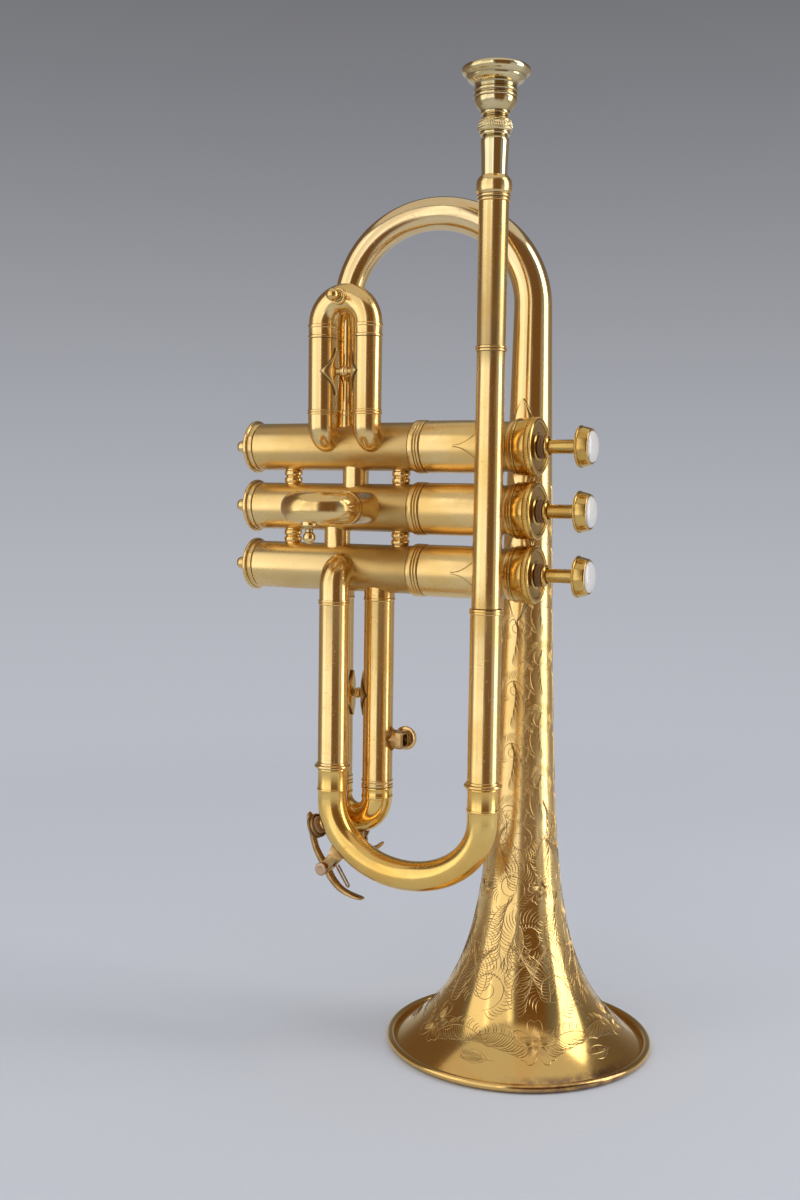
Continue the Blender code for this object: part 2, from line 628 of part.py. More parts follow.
def felt(k):
    """Felt ring lying on the cap round its hub."""
    start = TOP_CAP_FACE + GAP
    bore = CAP_HUB_RADIUS + GAP
    profile = ((start, FELT_RADIUS), (start + FELT_LENGTH, FELT_RADIUS), (start + FELT_LENGTH, bore),
               (start, bore))
    make(f"felt_{k + 1}", turned(valve_axis(k), X, profile, TUBE_SIDES), "felt", closed=True)


def piston(k):
    """Hollow piston with cross passages, a spring well below and a threaded hole above."""
    radius = CASING_BORE - PISTON_PLAY
    well = radius - SPRING_WELL_WALL
    hole = STUB_RADIUS + GAP
    roof = PISTON_TOP - PISTON_ROOF
    floor = PISTON_BOTTOM + SPRING_WELL_DEPTH
    profile = ((PISTON_BOTTOM, radius), (PISTON_TOP, radius), (PISTON_TOP, hole), (roof, hole),
               (roof, radius - PISTON_WALL), (PISTON_CORE_TOP, radius - PISTON_WALL),
               (PISTON_CORE_TOP, PISTON_VENT_RADIUS), (floor, PISTON_VENT_RADIUS), (floor, well),
               (PISTON_BOTTOM, well))
    rings = turned(valve_axis(k), X, profile, VALVE_SIDES)
    barrel = make(f"piston_{k + 1}", rings, "nickel", closed=True, origin=valve_axis(k))
    for x, heading in zip(PISTON_PASSAGES, (Z, Y, Z)):
        middle = valve_axis(k) + X * x
        reach = heading * CASING_RADIUS
        combine(barrel, rod(middle - reach, middle + reach, PORT_RADIUS, SMALL_SIDES), "DIFFERENCE")


def finger_button(k):
    """Stem with a threaded stub in the piston, and the flanged button with its pearl's seat."""
    start = PISTON_TOP + GAP
    flange_end = BUTTON_START + BUTTON_FLANGE_LENGTH
    seat = PEARL_RADIUS + GAP
    edge = BUTTON_FLANGE_RADIUS - BUTTON_BODY_RADIUS
    profile = ((PISTON_TOP - STUB_LENGTH, STUB_RADIUS), (start, STUB_RADIUS), (start, STEM_RADIUS),
               (BUTTON_START, STEM_RADIUS), (BUTTON_START, BUTTON_BODY_RADIUS),
               (BUTTON_START + edge, BUTTON_FLANGE_RADIUS), (flange_end - edge, BUTTON_FLANGE_RADIUS),
               (flange_end, BUTTON_BODY_RADIUS), (BUTTON_TOP, BUTTON_TOP_RADIUS), (BUTTON_TOP, seat),
               (BUTTON_TOP - PEARL_DEPTH - GAP, seat))
    rings = turned(valve_axis(k), X, profile, TUBE_SIDES)
    make(f"finger_button_{k + 1}", rings, "satin_gold", origin=valve_axis(k))


def pearl(k):
    """Domed pearl disc in the button."""
    profile = [(BUTTON_TOP - PEARL_DEPTH, PEARL_RADIUS)]
    for angle in PEARL_ANGLES:
        turn = math.radians(angle)
        profile.append((BUTTON_TOP + PEARL_DOME * math.sin(turn), PEARL_RADIUS * math.cos(turn)))
    rings = turned(valve_axis(k), X, profile, TUBE_SIDES)
    make(f"pearl_{k + 1}", rings, "pearl", origin=valve_axis(k))


def valve_spring(k):
    """Coil between the bottom cap's seat and the piston's well."""
    seat = BOTTOM_FLANGE_END + BOTTOM_FLANGE_LENGTH
    start = seat + GAP + VALVE_SPRING_WIRE
    end = PISTON_BOTTOM + SPRING_WELL_DEPTH - GAP - VALVE_SPRING_WIRE
    well = CASING_BORE - PISTON_PLAY - SPRING_WELL_WALL
    radius = well - GAP - VALVE_SPRING_WIRE
    points = SPRING_POINTS * VALVE_SPRING_TURNS
    pitch = (end - start) / VALVE_SPRING_TURNS
    rings = []
    for n in range(points + 1):
        turn = 2 * math.pi * n / SPRING_POINTS
        outward = Y * math.cos(turn) + Z * math.sin(turn)
        ahead = (Z * math.cos(turn) - Y * math.sin(turn)) * radius + X * pitch / (2 * math.pi)
        point = valve_axis(k) + X * (start + (end - start) * n / points) + outward * radius
        side = outward.cross(ahead.normalized())
        rings.append(circle(point, outward, side, VALVE_SPRING_WIRE, WIRE_SIDES))
    make(f"valve_spring_{k + 1}", rings, "steel", origin=valve_axis(k) + X * seat)
    return pitch - 2 * VALVE_SPRING_WIRE


def crossover(k):
    """Short tube between casing k and the next one below."""
    top = valve_axis(k) + X * CROSSOVER_X[k]
    ends = ((top, Z, k), (top - Z * VALVE_SPACING, -Z, k + 1))
    skin = []
    bore = []
    for middle, heading, casing in ends:
        wall = circle(middle, X, Y, CROSSOVER_RADIUS, TUBE_SIDES)
        hole = circle(middle, X, Y, CROSSOVER_RADIUS - CROSSOVER_WALL, TUBE_SIDES)
        skin.append(on_casing(wall, heading, casing))
        bore.append(on_casing(hole, heading, casing))
    make(f"crossover_tube_{k + 1}_{k + 2}", skin + bore[::-1], "satin_gold", closed=True)


def casing_post(k, n):
    """Two-bead post between casing k and the next one below."""
    top = valve_axis(k) + X * POST_X[n]
    middle = top - Z * VALVE_SPACING / 2
    reach = VALVE_SPACING / 2 - SADDLE_RADIUS
    faces = [circle(middle, X, Y, r, SMALL_SIDES) for r in (HEART_RADIUS, POST_RADIUS)]
    upper = [on_casing(face, Z, k) for face in faces]
    lower = [on_casing(face, -Z, k + 1) for face in faces[::-1]]
    bead = reach * POST_BEAD_SHARE
    neck = reach * POST_WAIST_SHARE
    profile = ((-bead, POST_RADIUS), (-neck, POST_WAIST), (neck, POST_WAIST), (bead, POST_RADIUS))
    waist = [circle(middle - Z * d, X, Y, r, SMALL_SIDES) for d, r in profile]
    make(f"casing_post_{k + 1}_{n + 1}", upper + waist + lower, "satin_gold")


def leadpipe_radius(z):
    """Outer radius of the leadpipe: slimmest at its waist."""
    waist = VALVE_HEIGHTS[0] + LEADPIPE_WAIST_RISE
    if z > waist:
        share = (z - waist) / (LEADPIPE_TOP - waist)
        return LEADPIPE_WAIST_RADIUS + (LEADPIPE_TOP_RADIUS - LEADPIPE_WAIST_RADIUS) * share
    share = (waist - z) / (waist - LEADPIPE_FOOT)
    return LEADPIPE_WAIST_RADIUS + (LEADPIPE_FOOT_RADIUS - LEADPIPE_WAIST_RADIUS) * share


def leadpipe():
    """Tapered pipe with one ring, from the tuning slide up to the receiver."""
    base = Vector((LEADPIPE_X, LEADPIPE_Y, 0))
    ring = VALVE_HEIGHTS[0] + LEADPIPE_RING_RISE
    ring_end = ring + LEADPIPE_RING_LENGTH
    waist = VALVE_HEIGHTS[0] + LEADPIPE_WAIST_RISE
    heights = (LEADPIPE_FOOT, waist, ring, ring_end, LEADPIPE_TOP)
    outer = [(z, leadpipe_radius(z)) for z in heights]
    outer[3:3] = [(ring, LEADPIPE_RING_RADIUS), (ring_end, LEADPIPE_RING_RADIUS)]
    bore = [(z, leadpipe_radius(z) - LEADPIPE_WALL) for z in (LEADPIPE_TOP, waist, LEADPIPE_FOOT)]
    make("leadpipe", turned(base, Z, outer + bore, TUBE_SIDES), "satin_gold", closed=True)


def mouthpiece_receiver():
    """Bulged socket for the mouthpiece's shank."""
    base = Vector((LEADPIPE_X, LEADPIPE_Y, RECEIVER_START))
    bore = SHANK_RADIUS + SLIDE_PLAY
    length = RECEIVER_LENGTH
    profile = [(0, RECEIVER_FOOT_RADIUS), (length * RECEIVER_FOOT_SHARE, RECEIVER_FOOT_RADIUS)]
    profile += [(length * along, RECEIVER_RADIUS * share) for along, share in RECEIVER_BULGE]
    profile += [(length, RECEIVER_LIP_RADIUS), (length, bore), (0, bore)]
    make("mouthpiece_receiver", turned(base, Z, profile, TUBE_SIDES), "satin_gold", closed=True)


def mouthpiece_outside():
    """Outer profile of the mouthpiece from its shank to the underside of its rim."""
    low, high = KNURL_RING_RISES
    collar = SHANK_TOP_RADIUS + COLLAR_HEIGHT
    profile = [(-SHANK_LENGTH, SHANK_END_RADIUS), (0, SHANK_RADIUS),
               (COLLAR_RISE - 2 * COLLAR_HALF, SHANK_TOP_RADIUS), (COLLAR_RISE - COLLAR_HALF, collar),
               (COLLAR_RISE + COLLAR_HALF, collar), (low, NECK_RADIUS)]
    profile += [(low + KNURL_EDGE, KNURL_RING_RADIUS), (high - KNURL_EDGE, KNURL_RING_RADIUS)]
    profile += [(high, NECK_RADIUS), (NECK_RISE, NECK_RADIUS)]
    profile += [(CUP_BOTTOM_RISE + rise, CUP_RADIUS * share) for rise, share in CUP_SHAPE]
    for rise in sorted(BEAD_RISES):
        profile += [(rise - BEAD_HALF, CUP_RADIUS), (rise, BEAD_RADIUS)]
    return profile + [(BEAD_RISES[0] + BEAD_HALF, CUP_RADIUS), (CUP_TOP_RISE, CUP_RADIUS)]


def mouthpiece_inside():
    """Inner profile of the mouthpiece from its rim down through the throat."""
    upper, lower = CUP_BORE_SHARES
    profile = [(MOUTHPIECE_HEIGHT - BITE_DEPTH, CUP_BORE_RADIUS), (CUP_TOP_RISE, CUP_BORE_RADIUS * upper),
               (BEAD_RISES[1], CUP_BORE_RADIUS * lower)]
    profile += [(THROAT_RISE + rise, THROAT_RADIUS * share) for rise, share in THROAT_FLARE]
    return profile + [(NECK_RISE, THROAT_RADIUS), (-SHANK_LENGTH, SHANK_END_RADIUS - SHANK_WALL)]


def mouthpiece():
    """Rim, cup with two beads, throat, knurled ring and tapered shank."""
    base = Vector((LEADPIPE_X, LEADPIPE_Y, RECEIVER_TOP))
    under = MOUTHPIECE_HEIGHT - MOUTHPIECE_RIM_LENGTH
    rim = [(under + rise, MOUTHPIECE_RIM_RADIUS * share) for rise, share in RIM_BELOW]
    rim += [(MOUTHPIECE_HEIGHT - depth, MOUTHPIECE_RIM_RADIUS * share) for depth, share in RIM_ABOVE]
    rings = turned(base, Z, mouthpiece_outside() + rim + mouthpiece_inside(), TUBE_SIDES)
    make("mouthpiece", rings, "pale_gold", closed=True, origin=base)


def u_bend(middle, across, away, half, depth, steps, radius):
    """Stations round a half ellipse from the +across leg to the other leg."""
    stations = []
    for k in range(steps + 1):
        turn = math.pi * k / steps
        point = middle + across * half * math.cos(turn) + away * depth * math.sin(turn)
        ahead = away * depth * math.cos(turn) - across * half * math.sin(turn)
        stations.append((point, ahead.normalized(), radius))
    return stations


def crook(name, middle, across, away, half, depth, tube, leg, engaged, ferrule, drop, steps):
    """A slide's moving half: two legs that run in the sleeves, their ferrules and the bow."""
    top = -(drop + ferrule)
    marks = [(top - engaged, leg), (top, leg), (top, tube + RING_RISE), (-drop, tube + RING_RISE)]
    if drop:
        marks.append((-drop, tube))
    start = middle + across * half
    end = middle - across * half
    bore = leg - SLIDE_WALL
    down = run(start, away, marks)
    up = [(point, -away, radius) for point, _, radius in run(end, away, marks[::-1])]
    skin = down + u_bend(middle, across, away, half, depth, steps, tube) + up
    hollow = run(start, away, [(top - engaged, bore)])
    hollow += u_bend(middle, across, away, half, depth, steps, bore)
    hollow += [(end + away * (top - engaged), -away, bore)]
    normal = across.cross(away)
    rings = sweep(skin, normal, TUBE_SIDES) + sweep(hollow, normal, TUBE_SIDES)[::-1]
    return make(name, rings, "satin_gold", closed=True, origin=middle)


def knob(piece, middle, axis, tube):
    """Turned pull knob on a crook's apex."""
    ball = tube + KNOB_LENGTH - KNOB_BALL_RADIUS
    profile = [(tube * KNOB_SINK, KNOB_COLLAR_RADIUS), (tube + KNOB_COLLAR_LENGTH, KNOB_COLLAR_RADIUS),
               (tube + KNOB_NECK_START, KNOB_NECK_RADIUS),
               (ball - KNOB_BALL_RADIUS * KNOB_BALL_START, KNOB_NECK_RADIUS)]
    for angle in KNOB_ANGLES:
        turn = math.radians(angle)
        profile.append((ball + KNOB_BALL_RADIUS * math.sin(turn), KNOB_BALL_RADIUS * math.cos(turn)))
    combine(piece, turned(middle, axis, profile, SMALL_SIDES), "UNION")


def sliding_radius(sleeve):
    """Radius of the leg that runs in a sleeve of this outer radius."""
    return sleeve - SLIDE_WALL - SLIDE_PLAY


def lower_leg():
    """Foot of the tuning slide's leg on the valve side."""
    return Vector((LOWER_LEG_X, LOWER_LEG_Y, 0))


def upper_leg():
    """Foot of the tuning slide's leg under the leadpipe."""
    return Vector((LEADPIPE_X, LEADPIPE_Y, 0))


def tuning_sleeves():
    """The two outer sleeves of the tuning slide, ringed above and flanged below."""
    flange = SLEEVE_END + SLEEVE_FLANGE_LENGTH
    ring = SLEEVE_TOP - SLEEVE_RING_LENGTH
    bore = TUNING_SLEEVE_RADIUS - SLIDE_WALL
    profile = ((SLEEVE_TOP, SLEEVE_RING_RADIUS), (ring, SLEEVE_RING_RADIUS), (ring, TUNING_SLEEVE_RADIUS),
               (flange, TUNING_SLEEVE_RADIUS), (flange, SLEEVE_FLANGE_RADIUS),
               (SLEEVE_END, SLEEVE_FLANGE_RADIUS), (SLEEVE_END, bore), (SLEEVE_TOP, bore))
    for name, foot in (("upper", upper_leg()), ("lower", lower_leg())):
        rings = turned(foot, Z, profile, TUBE_SIDES)
        make(f"tuning_slide_{name}_sleeve", rings, "satin_gold", closed=True)


def third_valve_elbow():
    """Elbow from the lower sleeve into the front of the third casing."""
    foot = lower_leg()
    level = VALVE_HEIGHTS[2] - ELBOW_BEND
    centre = foot + Y * ELBOW_BEND + Z * level
    layers = []
    for radius in (TUNING_SLEEVE_RADIUS, TUNING_SLEEVE_RADIUS - SLIDE_WALL):
        stations = run(foot, Z, ((SLEEVE_TOP + GAP, radius),))
        stations += bend(centre, -Y * ELBOW_BEND, Z, 90, BEND_STEPS, radius, radius)
        rings = sweep(stations, X, TUBE_SIDES)
        rings[-1] = on_casing(rings[-1], Y, 2)
        layers.append(rings)
    make("third_valve_elbow", layers[0] + layers[1][::-1], "satin_gold", closed=True)


def tuning_frame():
    """Middle of the tuning bow's ellipse, its direction to the leadpipe leg, and its half width."""
    span = upper_leg() - lower_leg()
    middle = (upper_leg() + lower_leg()) / 2 + Z * TUNING_LEVEL
    return middle, span.normalized(), span.length / 2


def third_frame():
    """Middle of the third slide's bow, its direction to the +X leg, and its half width."""
    return Vector((THIRD_SLIDE_X, VALVE_Y, THIRD_LEVEL)), X, THIRD_SLIDE_BEND


def first_sleeve(n, x):
    """One sleeve of the first slide with its elbow onto the casing."""
    level = VALVE_HEIGHTS[0] + FIRST_ELBOW_RISE + FIRST_ELBOW_BEND
    ring = FIRST_SLEEVE_END - VALVE_HEIGHTS[0] - FIRST_RING_RISE
    ring_end = ring + FIRST_RING_LENGTH
    thick = FIRST_SLIDE_RADIUS + RING_RISE
    bore = FIRST_SLIDE_RADIUS - SLIDE_WALL
    outside = ((0, FIRST_SLIDE_RADIUS), (ring, FIRST_SLIDE_RADIUS), (ring, thick), (ring_end, thick),
               (ring_end, FIRST_SLIDE_RADIUS))
    top = Vector((x, FIRST_SLIDE_Y, FIRST_SLEEVE_END))
    centre = Vector((x, FIRST_SLIDE_Y + FIRST_ELBOW_BEND, level))
    layers = []
    for marks, radius in ((outside, FIRST_SLIDE_RADIUS), (((0, bore),), bore)):
        stations = run(top, -Z, marks)
        stations += bend(centre, -Y * FIRST_ELBOW_BEND, -Z, 90, FIRST_ELBOW_STEPS, radius, radius)
        rings = sweep(stations, X, TUBE_SIDES)
        rings[-1] = on_casing(rings[-1], Y, 0, SADDLE_RADIUS + GAP)
        layers.append(rings)
    make(f"first_slide_sleeve_{n + 1}", layers[0] + layers[1][::-1], "satin_gold", closed=True)


def first_slide():
    """Sleeves with elbows onto the first casing, and the crook with its knob."""
    for n, x in enumerate(slide_legs(FIRST_SLIDE_X, FIRST_SLIDE_BEND)):
        first_sleeve(n, x)
    middle = Vector((FIRST_SLIDE_X, FIRST_SLIDE_Y, FIRST_LEVEL))
    bow = crook("first_slide_crook", middle, X, Z, FIRST_SLIDE_BEND, FIRST_SLIDE_BEND, FIRST_SLIDE_RADIUS,
                sliding_radius(FIRST_SLIDE_RADIUS), FIRST_ENGAGED, FIRST_FERRULE_LENGTH, 0, 2 * BEND_STEPS)
    knob(bow, middle + Z * FIRST_SLIDE_BEND, -Y, FIRST_SLIDE_RADIUS)


def second_slide():
    """Short sleeves on the second casing's front, and the crook with its knob."""
    thick = SECOND_SLIDE_RADIUS + RING_RISE
    reach = SECOND_SLEEVE_REACH - SADDLE_RADIUS
    marks = ((0, thick), (SECOND_RING_LENGTH, thick), (SECOND_RING_LENGTH, SECOND_SLIDE_RADIUS),
             (reach, SECOND_SLIDE_RADIUS))
    bore = SECOND_SLIDE_RADIUS - SLIDE_WALL
    for n, x in enumerate(slide_legs(SECOND_SLIDE_X, SECOND_SLIDE_BEND)):
        front = Vector((x, SECOND_SLEEVE_END, VALVE_HEIGHTS[1]))
        skin = sweep(run(front, Y, marks), X, TUBE_SIDES)
        hollow = sweep(run(front, Y, ((0, bore), (reach, bore))), X, TUBE_SIDES)
        skin[-1] = on_casing(skin[-1], Y, 1)
        hollow[-1] = on_casing(hollow[-1], Y, 1)
        make(f"second_slide_sleeve_{n + 1}", skin + hollow[::-1], "satin_gold", closed=True)
    middle = Vector((SECOND_SLIDE_X, SECOND_BEND_Y, VALVE_HEIGHTS[1]))
    bow = crook("second_slide_crook", middle, X, -Y, SECOND_SLIDE_BEND, SECOND_SLIDE_BEND,
                SECOND_SLIDE_RADIUS, sliding_radius(SECOND_SLIDE_RADIUS), SECOND_ENGAGED,
                SECOND_FERRULE_LENGTH, 0, 2 * BEND_STEPS)
    knob(bow, middle - Y * SECOND_SLIDE_BEND, -Z, SECOND_SLIDE_RADIUS)


def third_slide():
    """Long sleeves under the third casing, and the crook with its water-key saddle."""
    thick = THIRD_SLIDE_RADIUS + RING_RISE
    ring = THIRD_SLEEVE_DROP - THIRD_RING_DROP
    reach = THIRD_SLEEVE_DROP - SADDLE_RADIUS
    marks = ((0, thick), (THIRD_RING_LENGTH, thick), (THIRD_RING_LENGTH, THIRD_SLIDE_RADIUS),
             (ring, THIRD_SLIDE_RADIUS), (ring, thick), (reach, thick))
    bore = THIRD_SLIDE_RADIUS - SLIDE_WALL
    for n, x in enumerate(slide_legs(THIRD_SLIDE_X, THIRD_SLIDE_BEND)):
        foot = Vector((x, VALVE_Y, THIRD_SLEEVE_END))
        skin = sweep(run(foot, Z, marks), X, TUBE_SIDES)
        hollow = sweep(run(foot, Z, ((0, bore), (reach, bore))), X, TUBE_SIDES)
        skin[-1] = on_casing(skin[-1], Z, 2)
        hollow[-1] = on_casing(hollow[-1], Z, 2)
        make(f"third_slide_sleeve_{n + 1}", skin + hollow[::-1], "satin_gold", closed=True)
    middle, across, half = third_frame()
    bow = crook("third_slide_crook", middle, across, -Z, half, half, THIRD_SLIDE_RADIUS,
                sliding_radius(THIRD_SLIDE_RADIUS), THIRD_ENGAGED, THIRD_FERRULE_LENGTH, 0, 2 * BEND_STEPS)
    key_seat(bow, third_point, THIRD_CUP_ANGLE, THIRD_PIVOT_ANGLE, THIRD_PIVOT_OUT, Y)


def tuning_slide():
    """Sleeves, elbow and the long bow with its water-key saddle."""
    tuning_sleeves()
    third_valve_elbow()
    middle, across, half = tuning_frame()
    leg = sliding_radius(TUNING_SLEEVE_RADIUS)
    bow = crook("tuning_slide_bow", middle, across, -Z, half, TUNING_BOW_DEPTH, TUNING_BOW_RADIUS, leg,
                TUNING_ENGAGED, TUNING_FERRULE_LENGTH, TUNING_BOW_DROP, TUNING_BOW_STEPS)
    key_seat(bow, tuning_point, TUNING_CUP_ANGLE, TUNING_PIVOT_ANGLE, TUNING_PIVOT_OUT, tuning_normal())


def bow_point(frame, depth, tube, angle, out):
    """A point outside a bow, and the direction out of it, by angle round the bow from its -X leg."""
    middle, across, half = frame
    turn = math.radians(angle)
    point = middle - across * half * math.cos(turn) - Z * depth * math.sin(turn)
    outward = (-across * math.cos(turn) / half - Z * math.sin(turn) / depth).normalized()
    return point + outward * (tube + out), outward


def tuning_point(angle, out):
    """A point beside the tuning bow."""
    return bow_point(tuning_frame(), TUNING_BOW_DEPTH, TUNING_BOW_RADIUS, angle, out)


def third_point(angle, out):
    """A point beside the third slide's bow."""
    return bow_point(third_frame(), THIRD_SLIDE_BEND, THIRD_SLIDE_RADIUS, angle, out)


def tuning_normal():
    """Direction out of the tuning bow's plane, away from the player."""
    across = tuning_frame()[1]
    return Z.cross(across)


def cheek(centre, along, outward, depth):
    """Outline of one cheek: a wide foot in the tube, narrowing to a crown over the screw."""
    top = KEY_PIVOT_RADIUS * KEY_CHEEK_TOP
    foot = top * KEY_CHEEK_FOOT
    outline = [centre - along * foot - outward * depth, centre + along * foot - outward * depth]
    return outline + [centre + (along * a + outward * b) * top for a, b in KEY_CHEEK_OUTLINE]


def key_seat(bow, place, cup_angle, pivot_angle, pivot_out, normal):
    """Two cheeks for a water key's screw, and the drain nipple with its hole."""
    pivot, outward = place(pivot_angle, pivot_out)
    along = outward.cross(normal)
    inner = KEY_WIDTH / 2 + GAP
    outer = inner + KEY_CHEEK
    depth = pivot_out + KEY_CHEEK_SINK
    for side in (-normal, normal):
        combine(bow, [cheek(pivot + side * a, along, outward, depth) for a in (inner, outer)], "UNION")
    foot, drain = place(cup_angle, 0)
    nipple_end = foot + drain * KEY_NIPPLE_LENGTH
    combine(bow, rod(foot - drain * KEY_NIPPLE_SINK, nipple_end, KEY_NIPPLE_RADIUS, SMALL_SIDES), "UNION")
    drain_end = foot + drain * (KEY_NIPPLE_LENGTH + CUT_OVERRUN)
    combine(bow, rod(foot - drain * KEY_DRAIN_DEPTH, drain_end, KEY_NIPPLE_BORE, SMALL_SIDES), "DIFFERENCE")
    reach = normal * (outer + CUT_OVERRUN)
    combine(bow, rod(pivot - reach, pivot + reach, KEY_SCREW_RADIUS + PIN_PLAY, SMALL_SIDES), "DIFFERENCE")


def lever_rings(points, normal, scales):
    """Rings of a bar with chamfered edges through the points, in the plane with this normal."""
    rings = []
    for n, (point, scale) in enumerate(zip(points, scales)):
        before = points[max(n - 1, 0)]
        after = points[min(n + 1, len(points) - 1)]
        rise = normal.cross((after - before).normalized())
        wide = KEY_WIDTH / 2 * scale
        thick = KEY_THICK / 2 * scale
        cut = CHAMFER * scale
        corners = ((wide, thick - cut), (wide - cut, thick), (cut - wide, thick), (-wide, thick - cut),
                   (-wide, cut - thick), (cut - wide, -thick), (wide - cut, -thick), (wide, cut - thick))
        rings.append([point + normal * a + rise * b for a, b in corners])
    return rings


def water_key(name, place, cup_angle, pivot_angle, pivot_out, tail, normal, hollow):
    """Lever from the cup over the pivot to the finger tail."""
    pivot, _ = place(pivot_angle, pivot_out)
    mouth = KEY_NIPPLE_LENGTH + 2 * GAP
    back = mouth + KEY_CUP_LENGTH
    arm = back + KEY_THICK / 2 - KEY_ARM_SINK
    middle_angle = (cup_angle + pivot_angle) / 2
    points = [place(cup_angle - KEY_TIP_ANGLE, arm - KEY_TIP_DROP)[0], place(cup_angle, arm)[0]]
    points += [place(middle_angle, (arm + pivot_out) / 2 + KEY_ARCH)[0], pivot]
    points += [place(angle, out)[0] for angle, out in tail]
    scales = [KEY_TIP_SCALE] + [1] * (len(points) - 2) + [KEY_TAIL_SCALE]
    key = make(name, lever_rings(points, normal, scales), "bronze", origin=pivot)
    half = normal * KEY_WIDTH / 2
    combine(key, rod(pivot - half, pivot + half, KEY_PIVOT_RADIUS, SMALL_SIDES), "UNION")
    foot, outward = place(cup_angle, 0)
    bore = KEY_CUP_RADIUS - KEY_CUP_WALL
    profile = [(back, KEY_CUP_RADIUS * KEY_CUP_BACK_SHARE), (back - KEY_CUP_EDGE, KEY_CUP_RADIUS),
               (mouth, KEY_CUP_RADIUS)]
    if hollow:
        profile += [(mouth, bore), (back - KEY_CUP_WALL, bore)]
    combine(key, turned(foot, outward, profile, SMALL_SIDES), "UNION")
    return key, pivot


def tuning_water_key():
    """The tuning slide's key with its screw, cork and hairpin spring."""
    normal = tuning_normal()
    key, pivot = water_key("tuning_water_key", tuning_point, TUNING_CUP_ANGLE, TUNING_PIVOT_ANGLE,
                           TUNING_PIVOT_OUT, TUNING_TAIL, normal, True)
    reach = KEY_WIDTH / 2 + GAP + KEY_CHEEK
    hole = normal * (reach + CUT_OVERRUN)
    combine(key, rod(pivot - hole, pivot + hole, KEY_SCREW_RADIUS + PIN_PLAY, SMALL_SIDES), "DIFFERENCE")
    head = reach + GAP
    along, share = KEY_HEAD_EDGE
    profile = ((-reach, KEY_SCREW_RADIUS), (head, KEY_SCREW_RADIUS), (head, KEY_HEAD_RADIUS),
               (head + KEY_HEAD_LENGTH * along, KEY_HEAD_RADIUS),
               (head + KEY_HEAD_LENGTH, KEY_HEAD_RADIUS * share))
    make("tuning_water_key_screw", turned(pivot, -normal, profile, SMALL_SIDES), "bronze", origin=pivot)
    foot, outward = tuning_point(TUNING_CUP_ANGLE, 0)
    start = KEY_NIPPLE_LENGTH + GAP
    end = KEY_NIPPLE_LENGTH + 2 * GAP + KEY_CUP_LENGTH - KEY_CUP_WALL - GAP
    radius = KEY_CUP_RADIUS - KEY_CUP_WALL - GAP
    cork = rod(foot + outward * start, foot + outward * end, radius, SMALL_SIDES)
    make("tuning_water_key_cork", cork, "cork", origin=pivot)
    tuning_key_spring(normal, pivot)


def tuning_key_spring(normal, pivot):
    """Hairpin wire from beside the pivot to the tail's inner side."""
    start_out = TUNING_PIVOT_OUT - KEY_PIVOT_RADIUS - KEY_SPRING_DROP
    start, _ = tuning_point(TUNING_PIVOT_ANGLE + KEY_SPRING_LEAD, start_out)
    angle, out = TUNING_TAIL[2]
    end, _ = tuning_point(angle - KEY_SPRING_LEAD, out - KEY_THICK / 2 - GAP - KEY_SPRING_WIRE)
    half = KEY_SPRING_SPREAD / 2
    line = (end - start).normalized()
    rise = normal.cross(line)
    ahead = end - line * half
    stations = run(start + normal * half, line, ((0, KEY_SPRING_WIRE),))
    stations += bend(ahead, normal * half, line, 180, HAIRPIN_SIDES, KEY_SPRING_WIRE, KEY_SPRING_WIRE)
    stations += run(start - normal * half, -line, ((0, KEY_SPRING_WIRE),))
    make("tuning_water_key_spring", sweep(stations, rise, HAIRPIN_SIDES), "bronze", origin=pivot)


def third_water_key():
    """The third slide's key, with its cork and pivot pin made in one with the lever."""
    key, pivot = water_key("third_slide_water_key", third_point, THIRD_CUP_ANGLE, THIRD_PIVOT_ANGLE,
                           THIRD_PIVOT_OUT, THIRD_TAIL, Y, False)
    reach = Y * (KEY_WIDTH / 2 + GAP + KEY_CHEEK)
    combine(key, rod(pivot - reach, pivot + reach, KEY_SCREW_RADIUS, SMALL_SIDES), "UNION")


def foot_plate(centre, along, facing, rows):
    """Rings of a curved plate on a tube; rows hold (distance along, half width, tube radius)."""
    side = along.cross(facing)
    rings = []
    for distance, half_width, tube in rows:
        near = tube + GAP
        turns = [half_width / near * (2 * k / FOOT_STEPS - 1) for k in range(FOOT_STEPS + 1)]
        arms = [facing * math.cos(t) + side * math.sin(t) for t in turns]
        middle = centre + along * distance
        ring = [middle + arm * near for arm in arms]
        ring += [middle + arm * (near + PLATE) for arm in arms[::-1]]
        rings.append(ring)
    return rings


def pointed(half_length, half_width, radius):
    """Rows of a pointed plate with hollow sides, on a tube whose radius may change along it."""
    rows = []
    for share in POINT_SHARES:
        width = TIP_HALF_WIDTH + half_width * (1 - abs(share)) ** TIP_POWER
        rows.append((half_length * share, width, radius(half_length * share)))
    return rows


